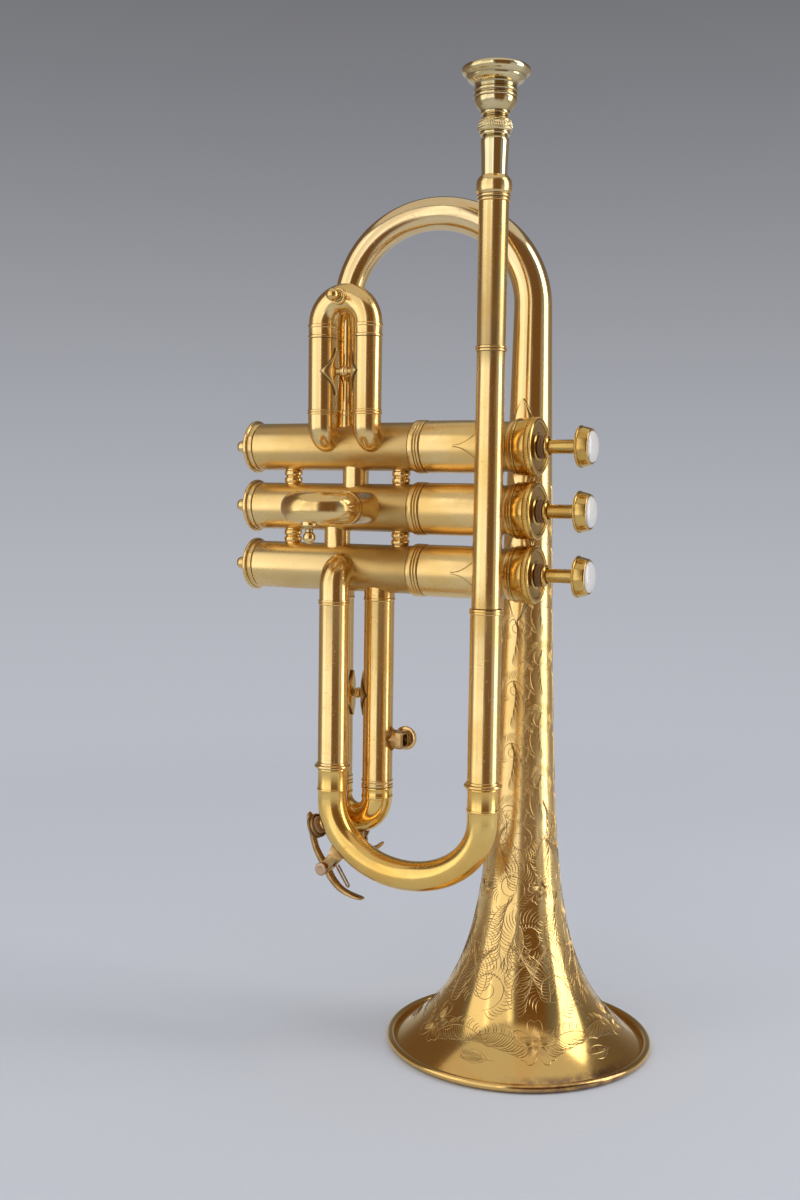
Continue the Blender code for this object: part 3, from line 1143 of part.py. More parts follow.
def leadpipe_brace(k):
    """Pointed foot on a casing's front and a short post to the leadpipe."""
    rows = []
    for share in BRACE_FOOT_SHARES:
        x = LEADPIPE_BRACE_TIP + (LEADPIPE_BRACE_WIDE - LEADPIPE_BRACE_TIP) * share
        rows.append((x, TIP_HALF_WIDTH + LEADPIPE_BRACE_HALF * share ** 2, casing_radius(x)))
    for x in (NECK_START, LEADPIPE_BRACE_END):
        rows.append((x, BRACE_POST_RADIUS + BRACE_FOOT_MARGIN, casing_radius(x)))
    brace = make(f"leadpipe_brace_{k + 1}", foot_plate(valve_axis(k), X, -Y, rows), "satin_gold")
    start = valve_axis(k) + X * BRACE_X - Y * (CASING_RADIUS + GAP + PLATE / 4)
    pipe = leadpipe_radius(VALVE_HEIGHTS[k] - BRACE_POST_RADIUS) + GAP
    post = ((0, BRACE_POST_RADIUS), (0, BRACE_POST_RADIUS), (0, HEART_RADIUS))
    rings = turned(start, -Y, post, SMALL_SIDES)
    rings[1:] = [saddle(ring, -Y, upper_leg(), Z, pipe) for ring in rings[1:]]
    combine(brace, rings, "UNION")


def bell_brace(k):
    """Long pointed foot on the bell's pipe and a short post to the casing's neck."""
    level = VALVE_HEIGHTS[k]
    rows = pointed(BELL_BRACE_HALF_LENGTH, BELL_BRACE_HALF_WIDTH, lambda d: bell_radius(level + d))
    brace = make(f"bell_brace_{k + 1}", foot_plate(Z * level, Z, -Y, rows), "bright_gold")
    radius = min(BRACE_POST_RADIUS * BELL_BRACE_POST_SHARE, CASING_RIM_START - GAP)
    start = Z * level - Y * (bell_radius(level) + GAP + PLATE / 2)
    rings = turned(start, -Y, ((0, radius), (0, radius), (0, HEART_RADIUS)), SMALL_SIDES)
    rings[1:] = [on_casing(ring, -Y, k) for ring in rings[1:]]
    combine(brace, rings, "UNION")


def slide_brace(name, middle, half, tube):
    """Pointed feet on a slide's two sleeves and a beaded post between them."""
    rows = pointed(SLIDE_BRACE_HALF_LENGTH, SLIDE_BRACE_HALF_WIDTH, lambda d: tube)
    brace = make(name, foot_plate(middle - X * half, Z, X, rows), "satin_gold")
    inset = tube + GAP + PLATE / 4
    length = 2 * (half - inset)
    waist = length * SLIDE_BRACE_WAIST_SHARE
    bead = length * SLIDE_BRACE_BEAD_SHARE
    profile = ((0, SLIDE_BRACE_POST), (waist, SLIDE_BRACE_POST), (bead, SLIDE_BRACE_BEAD),
               (length - bead, SLIDE_BRACE_BEAD), (length - waist, SLIDE_BRACE_POST),
               (length, SLIDE_BRACE_POST))
    combine(brace, turned(middle - X * (half - inset), X, profile, SMALL_SIDES), "UNION")
    combine(brace, foot_plate(middle + X * half, Z, -X, rows), "UNION")


def lyre_socket():
    """Square socket on a pointed foot, with its thumb screw at the back."""
    sleeve = Vector((THIRD_SLIDE_X + THIRD_SLIDE_BEND, VALVE_Y, VALVE_HEIGHTS[2] - LYRE_DROP))
    near = THIRD_SLIDE_RADIUS + GAP
    start = near + PLATE / 2
    end = start + LYRE_LENGTH
    rings = []
    for x, size in ((start, LYRE_BOX), (end, LYRE_BOX), (end, LYRE_HOLE), (start + LYRE_FLOOR, LYRE_HOLE)):
        half = size / 2
        centre = sleeve + X * x
        corners = ((-half, -half), (half, -half), (half, half), (-half, half))
        rings.append([centre + Y * a + Z * b for a, b in corners])
    box = make("lyre_socket", rings, "satin_gold")
    foot = []
    for share in POINT_SHARES:
        turn = math.radians(LYRE_FOOT_ANGLE) * share
        arm = X * math.cos(turn) + Y * math.sin(turn)
        half = TIP_HALF_WIDTH + LYRE_FOOT_HALF * (1 - abs(share)) ** TIP_POWER
        section = ((near, -half), (near, half), (near + PLATE, half), (near + PLATE, -half))
        foot.append([sleeve + arm * r + Z * z for r, z in section])
    combine(box, foot, "UNION")
    middle = sleeve + X * (start + end + LYRE_FLOOR) / 2
    hole = LYRE_SCREW_RADIUS + PIN_PLAY
    combine(box, rod(middle, middle + Y * LYRE_BOX, hole, SMALL_SIDES), "DIFFERENCE")
    face = LYRE_BOX / 2 + GAP
    profile = ((LYRE_HOLE / 2 + GAP, LYRE_SCREW_RADIUS), (face, LYRE_SCREW_RADIUS),
               (face, LYRE_HEAD_RADIUS), (face + LYRE_HEAD_LENGTH, LYRE_HEAD_RADIUS))
    make("lyre_screw", turned(middle, Y, profile, TUBE_SIDES), "satin_gold", origin=middle)


def valves():
    """Everything on the three valve axes, and what joins the casings."""
    spring_gap = 0
    for k in range(3):
        valve_casing(k)
        bottom_cap(k)
        top_cap(k)
        felt(k)
        piston(k)
        finger_button(k)
        pearl(k)
        spring_gap = valve_spring(k)
    print("valve spring, least gap between turns (mm):", round(spring_gap, 2))
    for k in range(2):
        crossover(k)
        for n in range(2):
            casing_post(k, n)


def main():
    """Clear the scene and build the trumpet."""
    for old in list(bpy.data.objects):
        bpy.data.objects.remove(old, do_unlink=True)
    bell()
    leadpipe()
    mouthpiece_receiver()
    mouthpiece()
    valves()
    first_slide()
    second_slide()
    third_slide()
    tuning_slide()
    tuning_water_key()
    third_water_key()
    for k in (0, 2):
        leadpipe_brace(k)
        bell_brace(k)
    first_middle = Vector((FIRST_SLIDE_X, FIRST_SLIDE_Y, VALVE_HEIGHTS[0] + FIRST_BRACE_RISE))
    slide_brace("first_slide_brace", first_middle, FIRST_SLIDE_BEND, FIRST_SLIDE_RADIUS)
    third_middle = Vector((THIRD_SLIDE_X, VALVE_Y, VALVE_HEIGHTS[2] - THIRD_BRACE_DROP))
    slide_brace("third_slide_brace", third_middle, THIRD_SLIDE_BEND, THIRD_SLIDE_RADIUS)
    lyre_socket()


main()
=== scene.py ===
"""Looks of the trumpet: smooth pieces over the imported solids, gold finishes, engraving, light and camera.

Shapes are worked out in millimetres from the bell's axis and turned into metres in the row's
frame when a mesh is made. A turned shape is a profile of (distance, radius) carried round an
axis; a tube is a ring carried along a path; an engraved stroke is a narrow strip on the bell.
"""
import math

import bmesh
import bpy
import numpy as np
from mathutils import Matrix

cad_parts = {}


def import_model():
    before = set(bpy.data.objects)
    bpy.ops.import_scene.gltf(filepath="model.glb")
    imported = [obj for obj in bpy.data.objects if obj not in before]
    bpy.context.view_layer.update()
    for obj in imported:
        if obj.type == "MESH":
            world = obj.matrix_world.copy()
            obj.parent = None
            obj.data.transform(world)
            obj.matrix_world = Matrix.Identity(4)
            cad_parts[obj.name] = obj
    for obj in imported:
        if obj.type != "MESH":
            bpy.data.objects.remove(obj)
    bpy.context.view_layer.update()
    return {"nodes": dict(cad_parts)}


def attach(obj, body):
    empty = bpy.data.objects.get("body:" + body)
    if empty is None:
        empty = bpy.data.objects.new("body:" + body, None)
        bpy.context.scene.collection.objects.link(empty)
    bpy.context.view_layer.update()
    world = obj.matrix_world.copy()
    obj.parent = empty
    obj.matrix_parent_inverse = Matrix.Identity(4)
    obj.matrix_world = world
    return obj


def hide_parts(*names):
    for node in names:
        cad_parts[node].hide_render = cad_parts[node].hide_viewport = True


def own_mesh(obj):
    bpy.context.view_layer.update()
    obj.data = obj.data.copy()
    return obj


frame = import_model()

MM = 0.001
SHIFT = np.array([37.245, 6.01675, 0.0])    # from the bell's axis to the row's frame
X, Y, Z = np.eye(3)

# Round counts
BELL_SIDES = 128
RIM_STEPS = 40
VALVE_SIDES = 96
TUBE_SIDES = 56
SMALL_SIDES = 32

# Bell: outer radius = pipe - taper * z + (mouth - pipe) * (length / (z + length)) ** power
BELL_PIPE = 14.946
BELL_TAPER = 0.0208
BELL_MOUTH = 56.8
FLARE_LENGTH = 186.79
FLARE_POWER = 7.098
BELL_WALL = 0.5
RIM_WIRE = 1.65
RIM_RING = 57.04
RIM_FOOT = 55.6
RIM_MEETS = 1.3
BOW_START = 323.17
BOW_END_RADIUS = 5.95
BELL_LEG = np.array([-77.5, -24.1835, 0.0])
BELL_FERRULE_RADIUS = 6.6
BELL_FERRULE_TOP = 278.37

# Valves
VALVE_Y = -24.1835
VALVE_Z = (262.972, 236.356, 209.74)
VALVE_PITCH = 26.616
CASING_RADIUS = 10.5
CASING_BORE = 8.9
CASING_BOTTOM = -120.24
CASING_TOP = 11.26
BAND_START = -42.3
BAND_LENGTH = 5.3
BAND_RADIUS = 11.5
BARREL_RADIUS = 11.2
BARREL_END = -14.0
NECK_START = -8.2
CASING_RIM = (2.26, 4.16)
CASING_RIM_RADIUS = 11.3
SPIGOT_RADIUS = 10.4
BOTTOM_CAP_TOP = -120.54
BOTTOM_FLANGE_END = -124.29
NIPPLE_END = -133.24
NIPPLE_RADIUS = 2.8
TOP_CAP_START = 4.46
TOP_CAP_FACE = 13.86
TOP_CAP_RADIUS = 12.1
HUB_END = 18.26
HUB_RADIUS = 4.6
STEM_RADIUS = 2.9
BUTTON_START = 30.81
BUTTON_TOP = 36.36
PEARL_RADIUS = 6.5
PEARL_DOME = 1.9
PISTON_TOP = 10.76

# Tubes: (x, y) of each leg
LEADPIPE_LEG = np.array([-0.2, -45.3335, 0.0])
LOWER_LEG = np.array([-74.1, -40.03, 0.0])
FIRST_Y = -38.38
FIRST_X = -70.9
FIRST_BEND = 11.0
FIRST_RADIUS = 6.15
FIRST_LEVEL = 314.87
FIRST_SLEEVE_END = 308.87
SECOND_X = -73.1
SECOND_BEND = 10.9
SECOND_RADIUS = 6.8
SECOND_SLEEVE_Y = -51.1835
SECOND_BEND_Y = -53.0835
THIRD_X = -70.2
THIRD_BEND = 10.1
THIRD_RADIUS = 6.7
THIRD_SLEEVE_END = 113.04
THIRD_LEVEL = 107.54
SLEEVE_TOP = 196.34
SLEEVE_END = 122.64
SLEEVE_RADIUS = 6.6
TUNING_LEVEL = 108.04
TUNING_DEPTH = 28.2
TUNING_RADIUS = 6.4
WALL = 0.55
LYRE_BASE = 10.4
LYRE_END = 13.7
LYRE_LEVEL = 134.54
LEADPIPE_START = 196.64
LEADPIPE_WAIST = 292.97
LEADPIPE_RING = 300.37
LEADPIPE_TOP = 359.372
RECEIVER_TOP = 369.472
CROSSOVER_X = (-72.6, -81.6)
POST_X = (-104.4, -50.2)


def group(name, inputs, outputs):
    """A shader node group with named sockets; inputs hold (kind, name, value)."""
    made = bpy.data.node_groups.new(name, "ShaderNodeTree")
    for kind, label, value in inputs:
        socket = made.interface.new_socket(label, in_out="INPUT", socket_type=kind)
        if value is not None:
            socket.default_value = value
    for kind, label in outputs:
        made.interface.new_socket(label, in_out="OUTPUT", socket_type=kind)
    return made


class Wiring:
    """Short hand for placing and joining nodes in one tree."""

    def __init__(self, tree):
        self.tree = tree

    def node(self, kind, settings=None, **inputs):
        """A node with its settings, and its inputs given as values or sockets."""
        made = self.tree.nodes.new(kind)
        for key, value in (settings or {}).items():
            setattr(made, key, value)
        return self.give(made, **inputs)

    def give(self, node, **inputs):
        """Several inputs of a node at once, each a value or a socket."""
        for label, value in inputs.items():
            self.feed(node, label.replace("_", " "), value)
        return node

    def feed(self, node, label, value):
        """Give one input a value, or join it to a socket."""
        socket = node.inputs[int(label)] if label.isdigit() else node.inputs[label]
        if isinstance(value, bpy.types.NodeSocket):
            self.tree.links.new(value, socket)
        else:
            socket.default_value = value

    def math(self, operation, first, second=None, clamp=False):
        """One sum, product or power."""
        made = self.node("ShaderNodeMath", {"operation": operation, "use_clamp": clamp})
        self.feed(made, "0", first)
        if second is not None:
            self.feed(made, "1", second)
        return made.outputs[0]

    def noise(self, vector, scale, detail=3.0, roughness=0.55):
        """Soft noise from 0 to 1."""
        return self.node("ShaderNodeTexNoise", Vector=vector, Scale=scale, Detail=detail,
                         Roughness=roughness).outputs["Fac"]

    def stretch(self, vector, scale):
        """The vector with each axis scaled."""
        return self.node("ShaderNodeMapping", Vector=vector, Scale=scale).outputs[0]

    def ramp(self, value, low, high, first=0.0, last=1.0):
        """The value's range low..high taken to first..last."""
        made = self.node("ShaderNodeMapRange", {"clamp": True, "interpolation_type": "SMOOTHSTEP"})
        return self.give(made, Value=value, From_Min=low, From_Max=high, To_Min=first, To_Max=last).outputs[0]

    def blend(self, share, first, second):
        """Two colours mixed by a share."""
        made = self.node("ShaderNodeMix", {"data_type": "RGBA"})
        self.feed(made, "0", share)
        self.feed(made, "6", first)
        self.feed(made, "7", second)
        return made.outputs[2]


def brushed_group():
    """Fine lengthwise grain: noise squeezed across the grain's direction."""
    made = group("brushed_grain", [("NodeSocketVector", "Vector", None),
                                   ("NodeSocketFloat", "Fineness", 1.0)],
                 [("NodeSocketFloat", "Height"), ("NodeSocketFloat", "Streak")])
    wires = Wiring(made)
    start = made.nodes.new("NodeGroupInput")
    end = made.nodes.new("NodeGroupOutput")
    scale = wires.math("MULTIPLY", start.outputs["Fineness"], 1500.0)
    fine = wires.noise(start.outputs["Vector"], scale, 2.0)
    broad = wires.noise(start.outputs["Vector"], wires.math("MULTIPLY", scale, 0.22), 3.0)
    made.links.new(wires.math("ADD", fine, wires.math("MULTIPLY", broad, 0.5)), end.inputs["Height"])
    made.links.new(broad, end.inputs["Streak"])
    return made


def wear_group():
    """Handling marks: broad dulled clouds, small dark specks and fine hairline scratches."""
    made = group("handling", [("NodeSocketVector", "Vector", None), ("NodeSocketFloat", "Cloud size", 28.0),
                              ("NodeSocketFloat", "Speck size", 420.0)],
                 [("NodeSocketFloat", label) for label in ("Cloud", "Specks", "Scratches")])
    wires = Wiring(made)
    start = made.nodes.new("NodeGroupInput")
    end = made.nodes.new("NodeGroupOutput")
    vector = start.outputs["Vector"]
    cloud = wires.noise(vector, start.outputs["Cloud size"], 5.0, 0.6)
    made.links.new(wires.ramp(cloud, 0.42, 0.68), end.inputs["Cloud"])
    specks = wires.noise(vector, start.outputs["Speck size"], 2.0, 0.5)
    gathered = wires.math("MULTIPLY", wires.ramp(specks, 0.68, 0.76), wires.ramp(cloud, 0.40, 0.62))
    made.links.new(gathered, end.inputs["Specks"])
    first = wires.noise(wires.stretch(vector, (900.0, 900.0, 40.0)), 1.0, 1.0)
    second = wires.noise(wires.stretch(vector, (60.0, 1100.0, 800.0)), 1.0, 1.0)
    lines = wires.math("MAXIMUM", wires.ramp(first, 0.68, 0.74), wires.ramp(second, 0.69, 0.75))
    made.links.new(lines, end.inputs["Scratches"])
    return made


# Dark colour that inside corners, seams and plate edges are blended towards: painted shade, together with
# grime.
GRIME_AND_SHADE = (0.075, 0.036, 0.012, 1)
BRUSHED = brushed_group()
HANDLING = wear_group()


def material(name):
    """A new material, its wiring, its shader and its object coordinates."""
    made = bpy.data.materials.new(name)
    made.use_nodes = True
    wires = Wiring(made.node_tree)
    shader = made.node_tree.nodes["Principled BSDF"]
    place = wires.node("ShaderNodeTexCoord").outputs["Object"]
    return made, wires, shader, place


def metal(name, colour, deep, tarnish, roughness, grain=None, grain_depth=0.0, cloud=28.0, dulled=0.12,
          marks=0.4):
    """Plated metal: colour deepening in clouds, darkened in inside corners and seams by painted shade together
    with grime, specks of tarnish, grain and hairlines.
    """
    made, wires, shader, place = material(name)
    handling = wires.node("ShaderNodeGroup", {"node_tree": HANDLING}, Vector=place, Cloud_size=cloud)
    base = wires.blend(handling.outputs["Cloud"], (*colour, 1), (*deep, 1))
    specks = wires.math("MULTIPLY", handling.outputs["Specks"], marks)
    base = wires.blend(specks, base, (*tarnish, 1))
    # Painted shade with grime: the per-vertex value blends the colour towards the dark shade colour in inside
    # corners, seams and plate edges, and roughens it there.
    grime_and_shade = wires.node("ShaderNodeAttribute", {"attribute_name": "grime_and_shade"}).outputs["Fac"]
    base = wires.blend(wires.math("MULTIPLY", grime_and_shade, 0.95), base, GRIME_AND_SHADE)
    dull = wires.math("MULTIPLY", handling.outputs["Cloud"], dulled)
    rough = wires.math("ADD", dull, roughness)
    rough = wires.math("ADD", rough, wires.math("MULTIPLY", handling.outputs["Scratches"], 0.10))
    rough = wires.math("ADD", rough, wires.math("MULTIPLY", grime_and_shade, 0.3), clamp=True)
    height = wires.math("MULTIPLY", handling.outputs["Scratches"], -marks)
    if grain:
        brushed = wires.node("ShaderNodeGroup", {"node_tree": BRUSHED}, Vector=wires.stretch(place, grain))
        height = wires.math("ADD", height, wires.math("MULTIPLY", brushed.outputs["Height"], grain_depth))
        rough = wires.math("ADD", rough, wires.math("MULTIPLY", brushed.outputs["Streak"], 0.06), clamp=True)
    bump = wires.node("ShaderNodeBump", Height=height, Strength=0.35, Distance=0.00002)
    wires.give(shader, Metallic=1.0, Base_Color=base, Roughness=rough, Normal=bump.outputs[0])
    return made


GOLD = (0.91, 0.66, 0.29)
GOLD_DEEP = (0.85, 0.56, 0.19)
AMBER = (0.80, 0.53, 0.16)
AMBER_DEEP = (0.68, 0.41, 0.10)
TARNISH = (0.24, 0.12, 0.035)
LENGTHWISE = (1.0, 1.0, 0.03)
ALONG_VALVES = (0.03, 1.0, 1.0)


def bell_material():
    """Bright flare, deeper by the rim, satin up the pipe and pale on the bow; tarnish inside the rim."""
    made = metal("bright_gold", GOLD, GOLD_DEEP, TARNISH, 0.0, cloud=16.0, dulled=0.03, marks=0.12)
    wires = Wiring(made.node_tree)
    shader = made.node_tree.nodes["Principled BSDF"]
    place = wires.node("ShaderNodeTexCoord").outputs["Object"]
    height = wires.node("ShaderNodeSeparateXYZ", Vector=place).outputs["Z"]
    rough = shader.inputs["Roughness"].links[0].from_socket
    satin = wires.ramp(height, 0.02, 0.14, 0.12, 0.25)
    satin = wires.math("SUBTRACT", satin, wires.ramp(height, 0.25, 0.29, 0.0, 0.11))
    wires.give(shader, Roughness=wires.math("ADD", rough, satin, clamp=True))
    spot = wires.node("ShaderNodeVectorMath", {"operation": "DISTANCE"})
    wires.feed(spot, "0", place)
    spot.inputs[1].default_value = (0.078, -0.030, 0.002)
    near = wires.ramp(spot.outputs["Value"], 0.012, 0.040, 0.75, 0.0)
    cloud = wires.ramp(wires.noise(place, 240.0, 4.0, 0.6), 0.30, 0.60, 0.25, 1.0)
    low = wires.ramp(height, 0.0022, 0.0046, 1.0, 0.0)
    bloom = wires.math("MULTIPLY", wires.math("MULTIPLY", near, cloud), low)
    before = shader.inputs["Base Color"].links[0].from_socket
    before = wires.blend(wires.ramp(height, 0.006, 0.11, 0.75, 0.0), before, (0.84, 0.54, 0.17, 1))
    before = wires.blend(wires.ramp(height, 0.318, 0.350, 0.0, 0.35), before, (0.86, 0.73, 0.52, 1))
    wires.give(shader, Base_Color=wires.blend(bloom, before, (0.22, 0.10, 0.09, 1)))
    return made


def pearl_material():
    """Mother of pearl: milky white with faint pink and green clouds."""
    made, wires, shader, place = material("pearl")
    first = wires.ramp(wires.noise(place, 170.0, 4.0), 0.35, 0.65)
    second = wires.ramp(wires.noise(wires.stretch(place, (90.0, 260.0, 140.0)), 1.0, 4.0), 0.35, 0.65)
    base = wires.blend(first, (0.88, 0.86, 0.83, 1), (0.84, 0.79, 0.79, 1))
    base = wires.blend(wires.math("MULTIPLY", second, 0.6), base, (0.80, 0.85, 0.82, 1))
    wires.give(shader, Base_Color=base, Roughness=wires.ramp(first, 0.0, 1.0, 0.16, 0.26), Coat_Weight=0.4)
    return made


def felt_material():
    """Dark brown felt: fuzzy fibres with a soft sheen."""
    made, wires, shader, place = material("felt")
    fibre = wires.noise(place, 3200.0, 4.0, 0.7)
    base = wires.blend(wires.ramp(fibre, 0.35, 0.65), (0.20, 0.095, 0.030, 1), (0.33, 0.175, 0.065, 1))
    bump = wires.node("ShaderNodeBump", Height=fibre, Strength=0.9, Distance=0.0002)
    rough = wires.ramp(fibre, 0.3, 0.7, 0.85, 1.0)
    wires.give(shader, Base_Color=base, Roughness=rough, Normal=bump.outputs[0], Sheen_Weight=0.1)
    return made


def cork_material():
    """Cork: tan grain with dark pores."""
    made, wires, shader, place = material("cork")
    grain = wires.noise(place, 900.0, 4.0, 0.6)
    pores = wires.ramp(wires.noise(place, 2100.0, 2.0), 0.60, 0.68)
    base = wires.blend(wires.ramp(grain, 0.35, 0.65), (0.50, 0.33, 0.18, 1), (0.36, 0.22, 0.11, 1))
    base = wires.blend(pores, base, (0.10, 0.06, 0.03, 1))
    bump = wires.node("ShaderNodeBump", Height=grain, Strength=0.6, Distance=0.0002)
    rough = wires.ramp(grain, 0.3, 0.7, 0.75, 0.95)
    wires.give(shader, Base_Color=base, Roughness=rough, Normal=bump.outputs[0])
    return made


FINISH = {
    "bell": bell_material(),
    "upright": metal("satin_gold_upright", GOLD, GOLD_DEEP, TARNISH, 0.15, LENGTHWISE, 0.6, 28.0, 0.07, 0.3),
    "across": metal("satin_gold_across", GOLD, GOLD_DEEP, TARNISH, 0.22, ALONG_VALVES, 0.8, 22.0, 0.08, 0.3),
    "polished": metal("polished_gold", GOLD, GOLD_DEEP, TARNISH, 0.18, cloud=30.0, dulled=0.06, marks=0.25),
    "bow": metal("deep_gold", (0.94, 0.64, 0.20), (0.89, 0.54, 0.13), TARNISH, 0.17,
                 cloud=26.0, dulled=0.07, marks=0.25),
    "amber": metal("amber_gold", AMBER, AMBER_DEEP, TARNISH, 0.17, cloud=90.0, dulled=0.08, marks=0.35),
    "pale": metal("pale_gold", (0.84, 0.71, 0.41), (0.72, 0.56, 0.27), TARNISH, 0.06,
                  cloud=40.0, dulled=0.04, marks=0.3),
    "bronze": metal("bronze", (0.58, 0.37, 0.15), (0.38, 0.22, 0.08), (0.10, 0.05, 0.02), 0.22,
                    cloud=160.0, dulled=0.14),
    "copper": metal("copper_screw", (0.62, 0.42, 0.27), (0.50, 0.31, 0.18), (0.16, 0.08, 0.04), 0.34,
                    cloud=160.0, dulled=0.10),
    "nickel": metal("nickel", (0.62, 0.60, 0.56), (0.50, 0.47, 0.42), (0.16, 0.13, 0.10), 0.22,
                    ALONG_VALVES, 0.6),
    "steel": metal("spring_steel", (0.48, 0.47, 0.45), (0.36, 0.34, 0.31), (0.12, 0.09, 0.07), 0.30),
    "engraved": metal("engraved_line", (0.62, 0.42, 0.17), (0.48, 0.30, 0.10), (0.07, 0.035, 0.01), 0.20),
    "pearl": pearl_material(),
    "felt": felt_material(),
    "cork": cork_material(),
}
CREASE = math.radians(42)


def piece(name, grids, finish, nodes=(), body="instrument"):
    """One mesh from closed grids of points (rows, round, 3), riding on a body.

    A grid is skinned with four-sided faces; its columns always run round. Rows run round too
    where the grid says so, and otherwise its first and last rows are closed by a flat face.
    """
    mesh = bpy.data.meshes.new(name)
    bm = bmesh.new()
    # Per-vertex darkening: painted shade, together with grime, in inside corners, seams and plate edges.
    grime_and_shade_layer = bm.verts.layers.float.new("grime_and_shade")
    for points, ring_closed, grime_and_shade in grids:
        add_grid(bm, points, ring_closed, grime_and_shade, grime_and_shade_layer)
    bmesh.ops.remove_doubles(bm, verts=bm.verts[:], dist=1e-7)
    bmesh.ops.recalc_face_normals(bm, faces=bm.faces[:])
    bm.to_mesh(mesh)
    bm.free()
    mesh.shade_smooth()
    mesh.set_sharp_from_angle(angle=CREASE)
    return settle(name, mesh, finish, body, nodes)


def add_grid(bm, points, ring_closed, grime_and_shade, layer):
    """Put one grid of points and its faces into a mesh."""
    rows, columns = points.shape[:2]
    placed = (points.reshape(-1, 3) + SHIFT) * MM
    # Each point's share of painted shade with grime.
    grime_and_shade_values = np.zeros((rows, columns))
    if grime_and_shade is not None:
        grime_and_shade_values = grime_and_shade_values + (grime_and_shade if np.ndim(grime_and_shade) == 2 else np.asarray(grime_and_shade)[:, None])
    grime_and_shade_values = grime_and_shade_values.ravel()
    made = [bm.verts.new(p) for p in placed.tolist()]
    for vert, value in zip(made, grime_and_shade_values.tolist()):
        vert[layer] = value
    index = np.arange(rows * columns).reshape(rows, columns)
    here = index if ring_closed else index[:-1]
    after = np.roll(index, -1, 0) if ring_closed else index[1:]
    quads = np.stack([here, np.roll(here, -1, 1), np.roll(after, -1, 1), after], -1).reshape(-1, 4)
    for quad in quads.tolist():
        bm.faces.new([made[n] for n in quad])
    if not ring_closed:
        bm.faces.new([made[n] for n in index[0].tolist()])
        bm.faces.new([made[n] for n in index[-1][::-1].tolist()])


def settle(name, mesh, finish, body, nodes):
    """Object for a finished mesh: its material, its body and the nodes it stands for."""
    made = bpy.data.objects.new(name, mesh)
    bpy.context.scene.collection.objects.link(made)
    mesh.materials.append(FINISH[finish])
    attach(made, body)
    if nodes:
        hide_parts(*nodes)
    return made


def unit(vector):
    """The vector at length 1."""
    return vector / np.linalg.norm(vector)


def soften(profile, cut=0.25, steps=3, closed=False):
    """Round a profile's corners: each is replaced by a quadratic arc from `cut` before to `cut` after."""
    corner = np.asarray(profile, float)
    before = np.roll(corner, 1, 0) - corner
    after = np.roll(corner, -1, 0) - corner
    far = np.maximum(np.linalg.norm(before, axis=1), 1e-9)
    near = np.maximum(np.linalg.norm(after, axis=1), 1e-9)
    reach = np.minimum(cut, 0.45 * np.minimum(far, near))
    if not closed:
        reach[[0, -1]] = 0
    start = corner + before / far[:, None] * reach[:, None]
    end = corner + after / near[:, None] * reach[:, None]
    t = np.linspace(0, 1, steps + 1)[None, :, None]
    arcs = (1 - t) ** 2 * start[:, None] + 2 * t * (1 - t) * corner[:, None] + t ** 2 * end[:, None]
    arcs = arcs.reshape(-1, 2)
    return arcs if closed else arcs[steps:len(arcs) - steps]


def raised(start, *profile):
    """Profile points (distance, radius) whose distances are measured from a start."""
    return [(start + distance, radius) for distance, radius in profile]


def hollows(profile, closed, reach=0.42):
    """Painted shade with grime by profile point: 1 in a sharp inside corner, 0 on a flat or an outside corner.
    """
    before = profile - np.roll(profile, 1, 0)
    after = np.roll(profile, -1, 0) - profile
    turn = before[:, 0] * after[:, 1] - before[:, 1] * after[:, 0]
    scale = np.linalg.norm(before, axis=1) * np.linalg.norm(after, axis=1) + 1e-9
    bend = np.clip(turn / scale, 0, 1)
    if not closed:
        bend[[0, -1]] = 0
    return np.clip(bend / reach, 0, 1)


def around(count):
    """Even turns round a full circle."""
    return np.linspace(0, 2 * np.pi, count, endpoint=False)


def frame_of(axis):
    """Two directions square to an axis."""
    first = X if abs(axis @ X) < 0.5 else Z
    first = unit(first - axis * (first @ axis))
    return first, np.cross(axis, first)


def turned(base, axis, profile, sides, closed=False, ridges=None):
    """Turned shape: each profile row (distance, radius) becomes a ring; ridges add to the radius."""
    profile = np.asarray(profile, float)
    first, second = frame_of(axis)
    turn = around(sides)
    spoke = np.cos(turn)[:, None] * first + np.sin(turn)[:, None] * second
    radius = np.repeat(profile[:, 1:2], sides, 1)
    if ridges is not None:
        radius = radius + ridges(profile[:, :1], turn[None, :])
    points = base + profile[:, 0, None, None] * axis + radius[..., None] * spoke[None]
    # The third item darkens the profile's inside corners: painted shade together with grime.
    return points, closed, hollows(profile, closed)


def lathe(name, node, base, axis, profile, finish, cut, sides, closed=False, ridges=None, body="instrument",
          steps=3):
    """A piece turned from one profile with softened corners."""
    grid = turned(base, axis, soften(profile, cut, steps, closed), sides, closed, ridges)
    piece(name, [grid], finish, [node], body)


def straight(start, heading, marks):
    """Stations along a straight tube; marks hold (distance, radius)."""
    marks = np.asarray(marks, float)
    points = start + marks[:, :1] * heading
    return points, np.repeat(heading[None], len(marks), 0), marks[:, 1]


def bend(centre, arm, heading, degrees, steps, first, last):
    """Stations round a circular bend, the radius running from first to last."""
    turn = np.radians(degrees) * np.linspace(0, 1, steps + 1)[:, None]
    length = np.linalg.norm(arm)
    points = centre + arm * np.cos(turn) + heading * length * np.sin(turn)
    ahead = heading * np.cos(turn) - unit(arm) * np.sin(turn)
    return points, ahead, np.linspace(first, last, steps + 1)


def half_ellipse(middle, across, away, half, depth, steps, radius):
    """Stations round a half ellipse from the +across leg to the other leg."""
    turn = np.linspace(0, np.pi, steps + 1)[:, None]
    points = middle + across * half * np.cos(turn) + away * depth * np.sin(turn)
    ahead = away * depth * np.cos(turn) - across * half * np.sin(turn)
    ahead = ahead / np.linalg.norm(ahead, axis=1, keepdims=True)
    return points, ahead, np.full(steps + 1, radius)


